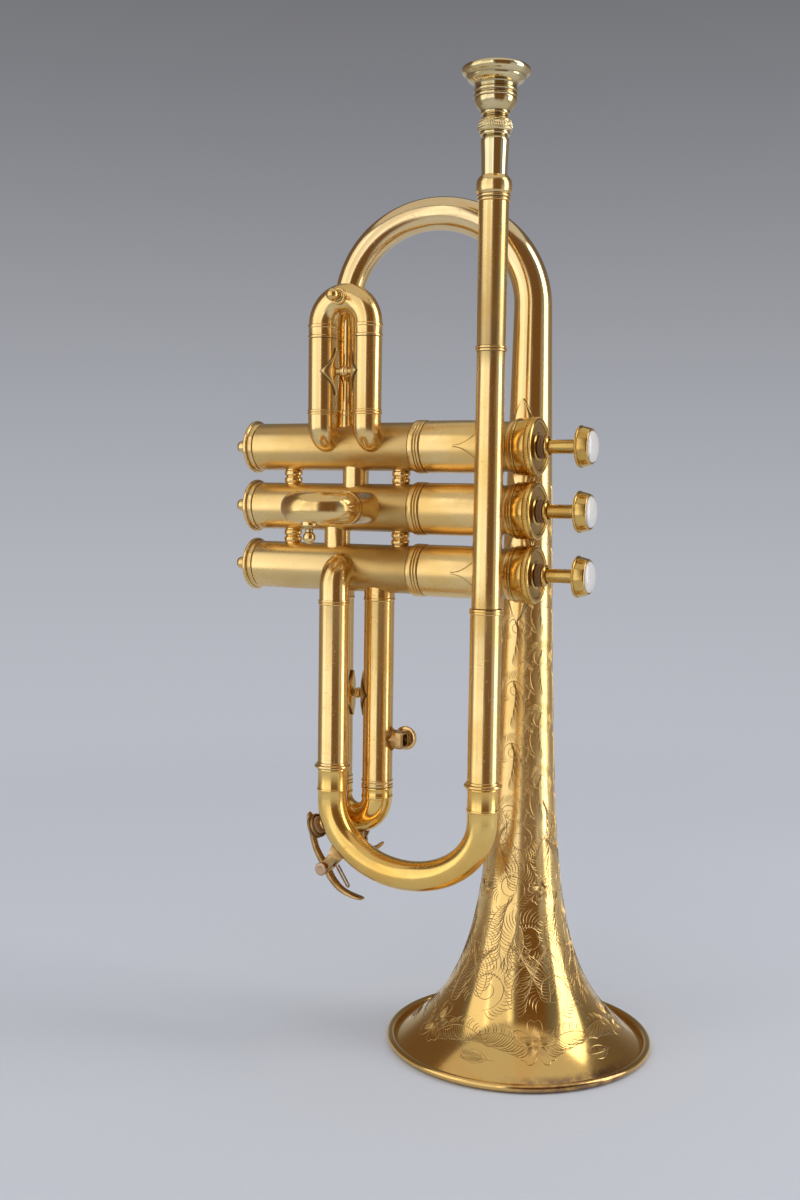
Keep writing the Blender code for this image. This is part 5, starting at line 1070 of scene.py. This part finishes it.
def third_slide():
    """Third slide: two long sleeves under the third casing, and the crook."""
    r = THIRD_RADIUS
    marks = [(0, r + 0.3), (0.9, r + 0.35), (1.1, r + 0.1), (1.9, r + 0.1), (2.1, r + 0.35), (2.9, r + 0.35),
             (3.0, r)]
    marks += raised(82.7, (0, r), (0.1, r + 0.35), (1.0, r + 0.35), (1.2, r + 0.1))
    marks += [(VALVE_Z[2] - THIRD_SLEEVE_END - 10, r + 0.1)]
    foot = np.array([THIRD_X, VALVE_Y, THIRD_SLEEVE_END])
    middle = np.array([THIRD_X, VALVE_Y, THIRD_LEVEL])
    valve_slide(2, foot, middle, -Z, THIRD_BEND, r, marks, 72.0, 5.2, "upright", "bow")


def tuning_frame():
    """Middle of the tuning bow, its direction to the leadpipe leg, and its half width."""
    span = LEADPIPE_LEG - LOWER_LEG
    return (LEADPIPE_LEG + LOWER_LEG) / 2 + Z * TUNING_LEVEL, unit(span), np.linalg.norm(span) / 2


def tuning_slide():
    """Tuning slide: two flanged sleeves, the elbow into the third casing, and the long bow."""
    r = SLEEVE_RADIUS
    length = SLEEVE_TOP - SLEEVE_END
    marks = [(0, 7.7), (0.4, 8.05), (1.2, 7.9), (1.5, 7.1), (2.3, 7.0), (2.5, r), (length - 2.0, r),
             (length - 1.9, 7.0), (length - 1.2, 7.0), (length - 1.0, 6.7), (length - 0.8, 7.0),
             (length, 6.95)]
    for name, leg in (("upper", LEADPIPE_LEG), ("lower", LOWER_LEG)):
        sleeve(f"tuning_{name}_sleeve", f"tuning_slide_{name}_sleeve", leg + Z * SLEEVE_END, Z, marks,
               r - WALL, X, "upright")
    centre = LOWER_LEG + Y * 7.0 + Z * (VALVE_Z[2] - 7.0)
    start = LOWER_LEG + Z * (SLEEVE_TOP + 0.05)
    rise = VALVE_Z[2] - 7.0 - SLEEVE_TOP - 0.1
    sleeve("valve_elbow", "third_valve_elbow", start, Z, [(0, r), (rise, r)], r - WALL, X, "polished", 2,
           (centre, -Y * 7.0, Z, r))
    middle, across, half = tuning_frame()
    crook("tuning_bow", "tuning_slide_bow", "tuning_slide", middle, across, -Z, half, TUNING_DEPTH,
          TUNING_RADIUS, r - 0.85, 68.0, 10.2, 4.1, "bow")


def pointed_plate(centre, along, facing, rows, thick=1.3):
    """Curved plate on a tube: rows hold (distance along, half width, tube radius).

    Each row runs across the top, where the height falls away at the edges as 1 - t ** 8, and back
    underneath on the tube.
    """
    rows = np.asarray(rows, float)
    side = np.cross(along, facing)
    t = np.linspace(-1, 1, 15)
    top = thick * (1 - 0.45 * t ** 8)
    height = np.concatenate([top, [0.15, -0.1, -0.1, -0.1, 0.15]])
    radius = rows[:, 2:3] + height[None]
    skirt = np.array([1.0, 1.0, 0.0, -1.0, -1.0])
    across = np.concatenate([t[None] * rows[:, 1:2], skirt * (rows[:, 1:2] + (0.1, 0.45, 0.0, 0.45, 0.1))], 1)
    turn = across / rows[:, 2:3]
    spoke = np.cos(turn)[..., None] * facing + np.sin(turn)[..., None] * side
    points = centre + rows[:, 0, None, None] * along + radius[..., None] * spoke
    # Painted shade: the plate darkens towards its two edges, and the skirt rows underneath are fully dark as a
    # painted contact shadow round the plate.
    edge = np.concatenate([[0.7, 0.15], np.zeros(11), [0.15, 0.7], np.ones(5)])
    return points, False, np.repeat(edge[None], len(rows), 0)


def point_rows(half_length, half_width, tube, power=1.6):
    """Rows of a pointed plate with hollow sides; the tube's radius is a function of the distance."""
    share = np.sin(np.linspace(-np.pi / 2, np.pi / 2, 41))
    distance = half_length * share
    width = 0.25 + half_width * (1 - np.abs(share)) ** power
    return np.stack([distance, width, tube(distance)], 1)


def casing_radius(x):
    """Outer radius of a casing's barrel and neck."""
    return np.interp(x, (BARREL_END, NECK_START), (BARREL_RADIUS, CASING_RADIUS))


def leadpipe_brace(k):
    """Pointed foot on the casing's front, and a waisted post to the leadpipe."""
    share = np.linspace(0, 1, 24)
    x = -20.8 + (20.8 - 9.4) * share
    tip = np.stack([x, 0.25 + 6.9 * share ** 2.1, casing_radius(x)], 1)
    x = np.linspace(-9.2, 1.4, 8)
    root = np.stack([x, np.interp(x, (-9.2, -6.0, 1.4), (7.0, 5.2, 4.2)), casing_radius(x)], 1)
    foot = pointed_plate(valve_axis(k), X, -Y, np.concatenate([tip, root]))
    start = valve_axis(k) - X * 1.7 - Y * CASING_RADIUS
    post = soften([(0.0, 0.01), (0.0, 4.2), (1.2, 3.2), (3.0, 2.8), (5.5, 3.0), (7.0, 3.6), (7.0, 0.01)], 0.5)
    piece(f"lead_brace_{k + 1}", [foot, turned(start, -Y, post, SMALL_SIDES)], "across",
          [f"leadpipe_brace_{k + 1}"])


def bell_brace(k):
    """Long leaf-shaped foot on the bell's pipe, and a short post to the casing."""
    level = VALVE_Z[k]
    distance = 21.0 * np.sin(np.linspace(-np.pi / 2, np.pi / 2, 61))
    width = 0.2 + 7.0 * np.tanh(0.60 / 7.0 * (21.0 - np.abs(distance)))
    foot = pointed_plate(Z * level, Z, -Y, np.stack([distance, width, bell_radius(level + distance)], 1), 1.1)
    start = Z * level - Y * bell_radius(level)
    post = soften([(0.0, 0.01), (0.0, 2.8), (1.0, 2.1), (4.4, 2.1), (4.4, 0.01)], 0.4)
    piece(f"bell_foot_{k + 1}", [foot, turned(start, -Y, post, SMALL_SIDES)], "polished",
          [f"bell_brace_{k + 1}"])


def slide_brace(name, node, middle, half, tube):
    """Pointed feet on a slide's two sleeves, and a beaded post between them."""
    rows = point_rows(10.0, 7.4, lambda d: np.full_like(d, tube), 1.5)
    left = pointed_plate(middle - X * half, Z, X, rows)
    right = pointed_plate(middle + X * half, Z, -X, rows)
    length = 2 * (half - tube)
    post = [(0.0, 0.01), (0.0, 2.3), (0.8, 2.2), (1.1, 1.5), (length * 0.30, 1.5), (length * 0.34, 2.1),
            (length * 0.42, 2.2), (length * 0.46, 2.5), (length * 0.54, 2.5), (length * 0.58, 2.2),
            (length * 0.66, 2.1), (length * 0.70, 1.5), (length - 1.1, 1.5), (length - 0.8, 2.2),
            (length, 2.3), (length, 0.01)]
    bar = turned(middle - X * (half - tube), X, soften(post, 0.2), SMALL_SIDES)
    piece(name, [left, right, bar], "polished", [node])


def squared(base, axis, profile, power=9.0, sides=64):
    """Box with rounded corners: rings of |cos| ** p + |sin| ** p = 1, sized by the profile."""
    first, second = frame_of(axis)
    turn = around(sides)
    bulge = (np.abs(np.cos(turn)) ** power + np.abs(np.sin(turn)) ** power) ** (-1 / power)
    spoke = (np.cos(turn)[:, None] * first + np.sin(turn)[:, None] * second) * bulge[:, None]
    profile = np.asarray(profile, float)
    points = base + profile[:, 0, None, None] * axis + profile[:, 1, None, None] * spoke[None]
    # The third item darkens the profile's inside corners: painted shade together with grime.
    return points, False, hollows(profile, False)


def lyre_socket():
    """Square socket with a bevelled mouth, flaring into a pointed foot, and its thumb screw behind."""
    sleeve_at = np.array([THIRD_X + THIRD_BEND, VALVE_Y, LYRE_LEVEL])
    box = [(LYRE_BASE, 3.75), (LYRE_BASE + 0.3, 3.85), (LYRE_END - 0.5, 3.85), (LYRE_END, 3.4),
           (LYRE_END, 2.6), (LYRE_END - 0.3, 2.4), (LYRE_BASE - 1.0, 2.4), (LYRE_BASE - 1.0, 0.01)]
    points, _, grime_and_shade = squared(sleeve_at, X, soften(box, 0.15))
    turn = around(points.shape[1])
    first, second = frame_of(X)
    star = (np.sign(np.cos(turn)) * np.abs(np.cos(turn)) ** 2.4 * abs(first @ Z) * 5.2)[:, None] * first
    star = star + (np.sign(np.sin(turn)) * np.abs(np.sin(turn)) ** 2.4 * 3.6)[:, None] * second
    sunk = np.sqrt(np.maximum(THIRD_RADIUS ** 2 - (star @ Y) ** 2, 1.0))
    foot = sleeve_at + star + X * (sunk + 0.6)[:, None]
    under = sleeve_at + star * 1.06 + X * (sunk - 0.4)[:, None]
    share = np.linspace(0, 1, 9)[1:-1, None, None]
    flare = foot + (points[0] - foot) * share + X * (-1.6 * np.sin(np.pi * share) * share)
    heart = np.repeat((sleeve_at + X * 5.0)[None], len(turn), 0) + 0.01 * (star / 5)
    grid = np.concatenate([heart[None], under[None], foot[None], flare, points])
    # Painted shade under the socket's foot where it sits on the sleeve, then the box's inside corners from its
    # profile.
    grime_and_shade_values = np.concatenate([[1.0, 1.0, 0.2], np.zeros(7), grime_and_shade])
    piece("lyre_holder", [(grid, False, grime_and_shade_values)], "bronze", ["lyre_socket"])
    screw_at = sleeve_at + X * 11.3
    head = [(2.35, 0.01), (2.35, 1.3), (4.15, 1.3), (4.2, 4.3), (4.35, 4.9), (4.75, 5.25), (5.4, 5.25),
            (5.8, 4.9), (5.95, 4.3), (5.7, 3.7), (5.65, 1.6), (5.85, 1.0), (5.85, 0.01)]
    lathe("lyre_thumb_screw", "lyre_screw", screw_at, Y, head, "polished", 0.2, 200, False,
          milled(4.7, 5.5, 50, 0.14), "lyre_thumb_screw")


def round_bow(frame_, depth, tube, angle, out):
    """Points beside a slide's bow by angle round it from its -X leg, and the directions out of it."""
    middle, across, half = frame_
    turn = np.radians(np.atleast_1d(angle).astype(float))[:, None]
    point = middle - across * half * np.cos(turn) - Z * depth * np.sin(turn)
    outward = -across * np.cos(turn) / half - Z * np.sin(turn) / depth
    outward = outward / np.linalg.norm(outward, axis=1, keepdims=True)
    return point + outward * (tube + np.atleast_1d(out)[:, None]), outward


def smooth_through(rows, count):
    """Smooth curve through rows of numbers: a Catmull-Rom spline sampled evenly."""
    rows = np.asarray(rows, float)
    held = np.concatenate([2 * rows[:1] - rows[1:2], rows, 2 * rows[-1:] - rows[-2:-1]])
    t = np.linspace(0, len(rows) - 1, count)
    k = np.minimum(t.astype(int), len(rows) - 2)
    f = (t - k)[:, None]
    a, b, c, d = held[k], held[k + 1], held[k + 2], held[k + 3]
    return 0.5 * (2 * b + (c - a) * f + (2 * a - 5 * b + 4 * c - d) * f ** 2 + (3 * b - a - 3 * c + d) * f ** 3)


def lever(points, normal, wide, thick):
    """Bar along a path: each section is a rounded bar, flatter on its inner side."""
    ahead = np.gradient(points, axis=0)
    ahead = ahead / np.linalg.norm(ahead, axis=1, keepdims=True)
    rise = np.cross(normal, ahead)
    turn = around(28)
    a = np.sign(np.cos(turn)) * np.abs(np.cos(turn)) ** 0.75
    b = np.sign(np.sin(turn)) * np.abs(np.sin(turn)) ** 0.9
    grid = points[:, None] + (wide[:, None] * a)[..., None] * normal
    return grid + (thick[:, None] * b)[..., None] * rise[:, None], False, None


def water_key(label, node, body, bow_body, place, cup, pivot, pivot_out, tail, normal, extra):
    """Lever with a cup at one end, a barrel on its pivot and a spooned tail, with saddle and nipple."""
    arm = 7.1
    between = ((cup + pivot) / 2, (arm + pivot_out) / 2 + 0.6)
    marks = [(cup - 9, arm - 0.9), (cup, arm), between, (pivot, pivot_out)]
    path = smooth_through(marks + list(tail), 72)
    points, _ = place(path[:, 0], path[:, 1])
    along = np.linspace(0, 1, 72)
    ends = np.sqrt(np.clip(1 - (2 * np.clip(np.abs(along - 0.5) - 0.44, 0, 0.06) / 0.12) ** 2, 0.02, 1))
    wide = ends * np.interp(along, (0, 0.1, 0.25, 0.5, 0.75, 0.9, 1), (1.9, 2.1, 1.5, 2.0, 1.8, 2.2, 2.1))
    thick = ends * np.interp(along, (0, 0.1, 0.3, 0.5, 0.75, 1), (1.0, 1.3, 1.3, 1.6, 1.2, 0.7))
    pivot_at, out = (row[0] for row in place(pivot, pivot_out))
    barrel = soften([(-2.0, 0.01), (-2.0, 2.8), (2.0, 2.8), (2.0, 0.01)], 0.3)
    foot, drain = (row[0] for row in place(cup, 0.0))
    disc = [(6.9, 0.01), (6.8, 1.6), (6.2, 2.6), (5.95, 3.0), (5.8, 4.9), (5.5, 5.3), (4.9, 5.4), (4.5, 5.2),
            (4.35, 4.7), (4.1, 4.7), (3.95, 5.2), (3.5, 5.4), (2.9, 5.3), (2.65, 5.0), (2.65, 4.4),
            (5.0, 4.3), (5.0, 0.01)]
    grids = [lever(points, normal, wide, thick), turned(pivot_at, normal, barrel, SMALL_SIDES),
             turned(foot, drain, soften(disc, 0.2), 48)]
    piece(label, grids, "bronze", [node], body)
    saddle(f"{label}_saddle", bow_body, pivot_at, out, normal, pivot_out)
    nipple = soften([(-0.8, 0.01), (-0.8, 3.4), (0.3, 3.2), (0.6, 2.6), (1.9, 2.5), (2.0, 1.2), (0.2, 1.2),
                     (0.2, 0.01)], 0.2)
    piece(f"{label}_nipple", [turned(foot, drain, nipple, SMALL_SIDES)], "polished", body=bow_body)
    head = [(-3.6, 0.01), (-3.6, 1.2), (3.7, 1.2), (3.75, 2.5), (4.0, 2.85), (4.7, 2.9), (5.0, 2.6),
            (5.05, 1.5), (4.95, 1.3), (4.95, 0.01)]
    grid = turned(pivot_at, -normal, soften(head, 0.15), SMALL_SIDES)
    piece(f"{label}_screw_head", [grid], "copper", extra[1], extra[0])
    cork = soften([(2.05, 0.01), (2.05, 3.6), (2.4, 4.0), (4.6, 4.05), (4.6, 0.01)], 0.4)
    piece(f"{label}_cork_pad", [turned(foot, drain, cork, SMALL_SIDES)], "cork", extra[2], body)
    return pivot_at


def saddle(name, body, pivot_at, out, normal, pivot_out):
    """Two cheeks on the bow: an outline with a wide foot and a round crown, thickened with soft edges."""
    along = np.cross(out, normal)
    crown = np.radians(np.linspace(0, 180, 13))
    low = -pivot_out
    outline = np.concatenate([[(-3.8, low - 1.0), (3.8, low - 1.0), (3.2, low + 0.8), (2.1, low + 2.4)],
                              np.stack([2.1 * np.cos(crown), 2.1 * np.sin(crown)], 1),
                              [(-2.1, low + 2.4), (-3.2, low + 0.8)]])
    flat = outline[:, :1] * along + outline[:, 1:] * out
    grids = []
    for side in (-1, 1):
        steps = [(2.3, 0.92), (2.4, 1.0), (3.5, 1.0), (3.6, 0.92)]
        rows = [pivot_at + normal * side * depth + flat * size for depth, size in steps]
        grids.append((np.stack(rows), False, None))
    piece(name, grids, "bronze", body=body)


def hairpin():
    """Key spring: a wire out along one strand, round a half turn and back along the other."""
    place = tuning_place
    normal = np.cross(Z, tuning_frame()[1])
    start = place(44.0, 5.7)[0][0]
    end = place(56.0, 9.8)[0][0]
    line = unit(end - start)
    ahead = end - line
    first = straight(start + normal, line, [(0.0, 0.4), (1.0, 0.4)])
    turn = bend(ahead, normal, line, 180, 20, 0.4, 0.4)
    points = np.concatenate([first[0], turn[0], [start - normal + line, start - normal]])
    heads = np.concatenate([first[1], turn[1], [-line, -line]])
    grid = rings((points, heads, np.full(len(points), 0.4)), np.cross(normal, line), 12)
    piece("tuning_key_hairpin", [(grid, False, None)], "bronze", ["tuning_water_key_spring"], "tuning_key")


def tuning_place(angle, out):
    """Points beside the tuning bow."""
    return round_bow(tuning_frame(), TUNING_DEPTH, TUNING_RADIUS, angle, out)


def third_place(angle, out):
    """Points beside the third slide's bow."""
    middle = np.array([THIRD_X, VALVE_Y, THIRD_LEVEL])
    return round_bow((middle, X, THIRD_BEND), THIRD_BEND, THIRD_RADIUS, angle, out)


def water_keys():
    """The two water keys with their screws, corks and spring."""
    normal = np.cross(Z, tuning_frame()[1])
    water_key("tuning_key_lever", "tuning_water_key", "tuning_key", "tuning_slide", tuning_place, 18.0, 40.0,
              10.6, ((46.0, 12.2), (53.0, 13.0), (60.0, 12.0), (66.5, 10.6)), normal,
              ("tuning_slide", ["tuning_water_key_screw"], ["tuning_water_key_cork"]))
    hairpin()
    water_key("third_key_lever", "third_slide_water_key", "third_key", "third_slide", third_place, 50.0, 95.0,
              6.6, ((104.0, 7.8), (114.0, 8.2), (124.0, 7.2)), Y, ("third_slide", [], []))


def braces():
    """Braces between pipes and casings, and between the slides' sleeves."""
    for k in (0, 2):
        leadpipe_brace(k)
        bell_brace(k)
    slide_brace("first_brace", "first_slide_brace", np.array([FIRST_X, FIRST_Y, VALVE_Z[0] + 31.8]), FIRST_BEND,
                FIRST_RADIUS)
    slide_brace("third_brace", "third_slide_brace", np.array([THIRD_X, VALVE_Y, VALVE_Z[2] - 56.0]), THIRD_BEND,
                THIRD_RADIUS)


def springs():
    """Valve springs: a round wire carried along a helix."""
    start, end, turns, wire, coil = -121.99, -92.8, 7, 0.5, 6.6
    t = np.linspace(0, 1, turns * 40 + 1)[:, None]
    turn = 2 * np.pi * turns * t
    for k in range(3):
        outward = Y * np.cos(turn) + Z * np.sin(turn)
        ahead = (Z * np.cos(turn) - Y * np.sin(turn)) * coil + X * (end - start) / (2 * np.pi * turns)
        ahead = ahead / np.linalg.norm(ahead, axis=1, keepdims=True)
        points = valve_axis(k) + X * (start + (end - start) * t) + outward * coil
        side = np.cross(outward, ahead)
        round_ = around(10)[None, :, None]
        grid = points[:, None] + wire * (np.cos(round_) * outward[:, None] + np.sin(round_) * side[:, None])
        made = piece(f"spring_coil_{k + 1}", [(grid, False, None)], "steel", [f"valve_spring_{k + 1}"])
        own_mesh(made)


CAMERA_TURN, CAMERA_PITCH, CAMERA_ROLL = 26.312, 4.599, 0.787
CAMERA_LENS = 41.65
CAMERA_PLACE = (0.255869, -0.561403, 0.245021)


def stand(name, data, right, up, back, place):
    """A camera or lamp in the scene, by its three directions and its place."""
    made = bpy.data.objects.new(name, data)
    matrix = np.eye(4)
    matrix[:3] = np.stack([right, up, back, place], 1)
    made.matrix_world = matrix.T.tolist()
    bpy.context.scene.collection.objects.link(made)
    return made


def camera():
    """Camera fitted to the photograph: place, turn, roll and lens."""
    azimuth, pitch, roll = np.radians([CAMERA_TURN, CAMERA_PITCH, CAMERA_ROLL])
    back = np.array([np.sin(azimuth) * np.cos(pitch), -np.cos(azimuth) * np.cos(pitch), np.sin(pitch)])
    right = np.array([np.cos(azimuth), np.sin(azimuth), 0.0])
    up = np.cross(back, right)
    across = np.cos(roll) * right + np.sin(roll) * up
    upward = -np.sin(roll) * right + np.cos(roll) * up
    data = bpy.data.cameras.new("camera")
    data.sensor_fit = "VERTICAL"
    data.sensor_height = 36.0
    data.lens = CAMERA_LENS
    data.clip_start = 0.01
    bpy.context.scene.camera = stand("camera", data, across, upward, back, CAMERA_PLACE)


TARGET = np.array([0.0, -0.015, 0.2])
CAMERA_SIDE = (90 - CAMERA_TURN) / 360 + 0.5    # turns the world so that the camera's side is the middle
# Backdrop: pale by the floor, dim above; the studio is unlit on the camera's own side, less so behind the lamps
BACKDROP_LOW = (0.485, 0.50, 0.55, 1)
BACKDROP_HIGH = (0.145, 0.145, 0.155, 1)
UNLIT = (0.16, 0.085, 0.035, 1)
# How dark, and degrees right of the camera where it begins, is full, is still full and ends
UNLIT_SIDES = ((1.0, (-14, -5, 40, 50)), (0.7, (-158, -148, -106, -92)), (0.4, (104, 114, 148, 158)))


def softbox(name, angle, height, distance, size, brightness, shape="RECTANGLE"):
    """A soft lamp at an angle right of the camera's side, aimed level at the trumpet or down from above."""
    azimuth = math.radians(CAMERA_TURN + angle)
    place = TARGET + np.array([math.sin(azimuth) * distance, -math.cos(azimuth) * distance, height - TARGET[2]])
    data = bpy.data.lights.new(name, "AREA")
    data.shape = shape
    data.size, data.size_y = size
    data.energy = brightness * math.pi * size[0] * size[1]
    data.color = (1.0, 0.985, 0.965)
    back = unit(place - TARGET)
    right = unit(np.cross(Z, back))
    stand(name, data, right, np.cross(back, right), back, place).visible_camera = False


def floor():
    """Pale floor that fades into the backdrop with distance."""
    mesh = bpy.data.meshes.new("floor")
    turn = around(96)
    edge = np.stack([4 * np.cos(turn), 4 * np.sin(turn), np.full(96, -0.0004)], 1)
    mesh.from_pydata(edge.tolist(), [], [list(range(96))])
    made = bpy.data.objects.new("floor", mesh)
    bpy.context.scene.collection.objects.link(made)
    finish, wires, shader, place = material("pale_floor")
    grain = wires.noise(place, 900.0, 3.0)
    base = wires.blend(grain, (0.68, 0.715, 0.80, 1), (0.72, 0.755, 0.84, 1))
    far = wires.node("ShaderNodeVectorMath", {"operation": "LENGTH"}, Vector=place).outputs["Value"]
    wires.give(shader, Base_Color=base, Roughness=0.9, Specular_IOR_Level=0.1,
               Alpha=wires.ramp(far, 0.34, 0.80, 1.0, 0.0))
    mesh.materials.append(finish)


def world():
    """Grey studio: an even light on the object, and the backdrop that camera and metal see.

    The backdrop is pale by the floor and dim above. In the metal it is dark on the unlit sides.
    """
    made = bpy.data.worlds.new("studio")
    bpy.context.scene.world = made
    made.use_nodes = True
    wires = Wiring(made.node_tree)
    direction = wires.node("ShaderNodeTexCoord").outputs["Generated"]
    split = wires.node("ShaderNodeSeparateXYZ", Vector=direction)
    backdrop = wires.blend(wires.ramp(split.outputs["Z"], -0.20, 0.45), BACKDROP_LOW, BACKDROP_HIGH)
    turn = wires.math("ARCTAN2", split.outputs["Y"], split.outputs["X"])
    share = wires.math("FRACT", wires.math("ADD", wires.math("MULTIPLY", turn, 0.5 / math.pi), CAMERA_SIDE))
    unlit = 0.0
    for depth, side in UNLIT_SIDES:
        begins, full, still, ends = (angle / 360 + 0.5 for angle in side)
        fall = wires.ramp(share, still, ends, depth, 0.0)
        flag = wires.math("MULTIPLY", wires.ramp(share, begins, full), fall)
        unlit = wires.math("ADD", unlit, flag)
    path = wires.node("ShaderNodeLightPath")
    mirrored = wires.math("MAXIMUM", path.outputs["Is Glossy Ray"], path.outputs["Is Transmission Ray"])
    seen = wires.blend(mirrored, (0.32, 0.32, 0.32, 1), wires.blend(unlit, backdrop, UNLIT))
    colour = wires.blend(path.outputs["Is Camera Ray"], seen, backdrop)
    wires.give(made.node_tree.nodes["Background"], Color=colour)


def light():
    """A wide soft window on the left in three panes, a narrow bright one on the right, and a wide ceiling."""
    softbox("left_pane", -73, 0.62, 1.5, (0.85, 1.8), 1.0)
    softbox("left_front_pane", -40, 0.62, 1.5, (1.05, 1.8), 0.78)
    softbox("front_pane", -17, 0.62, 1.5, (0.20, 1.8), 1.1)
    softbox("right_window", 81, 0.62, 1.4, (0.66, 1.8), 3.1)
    softbox("ceiling", 0, 2.3, 0.05, (3.6, 3.6), 0.36, "ELLIPSE")


def carry_over():
    """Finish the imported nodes: nickel on the pistons, which stay, and gold on those that are replaced."""
    for name, node in frame["nodes"].items():
        node.data.materials.clear()
        node.data.materials.append(FINISH["nickel" if "piston" in name else "polished"])


camera()
world()
light()
floor()
carry_over()
bell()
bell_engraving()
leadpipe()
mouthpiece()
for valve in range(3):
    valve_casing(valve)
    bottom_cap(valve)
    top_cap(valve)
    felt(valve)
    finger_button(valve)
for valve in range(2):
    crossover(valve)
    casing_post(valve, 0)
    casing_post(valve, 1)
first_slide()
second_slide()
third_slide()
tuning_slide()
braces()
lyre_socket()
water_keys()
springs()

bpy.context.scene.view_settings.view_transform = "Standard"
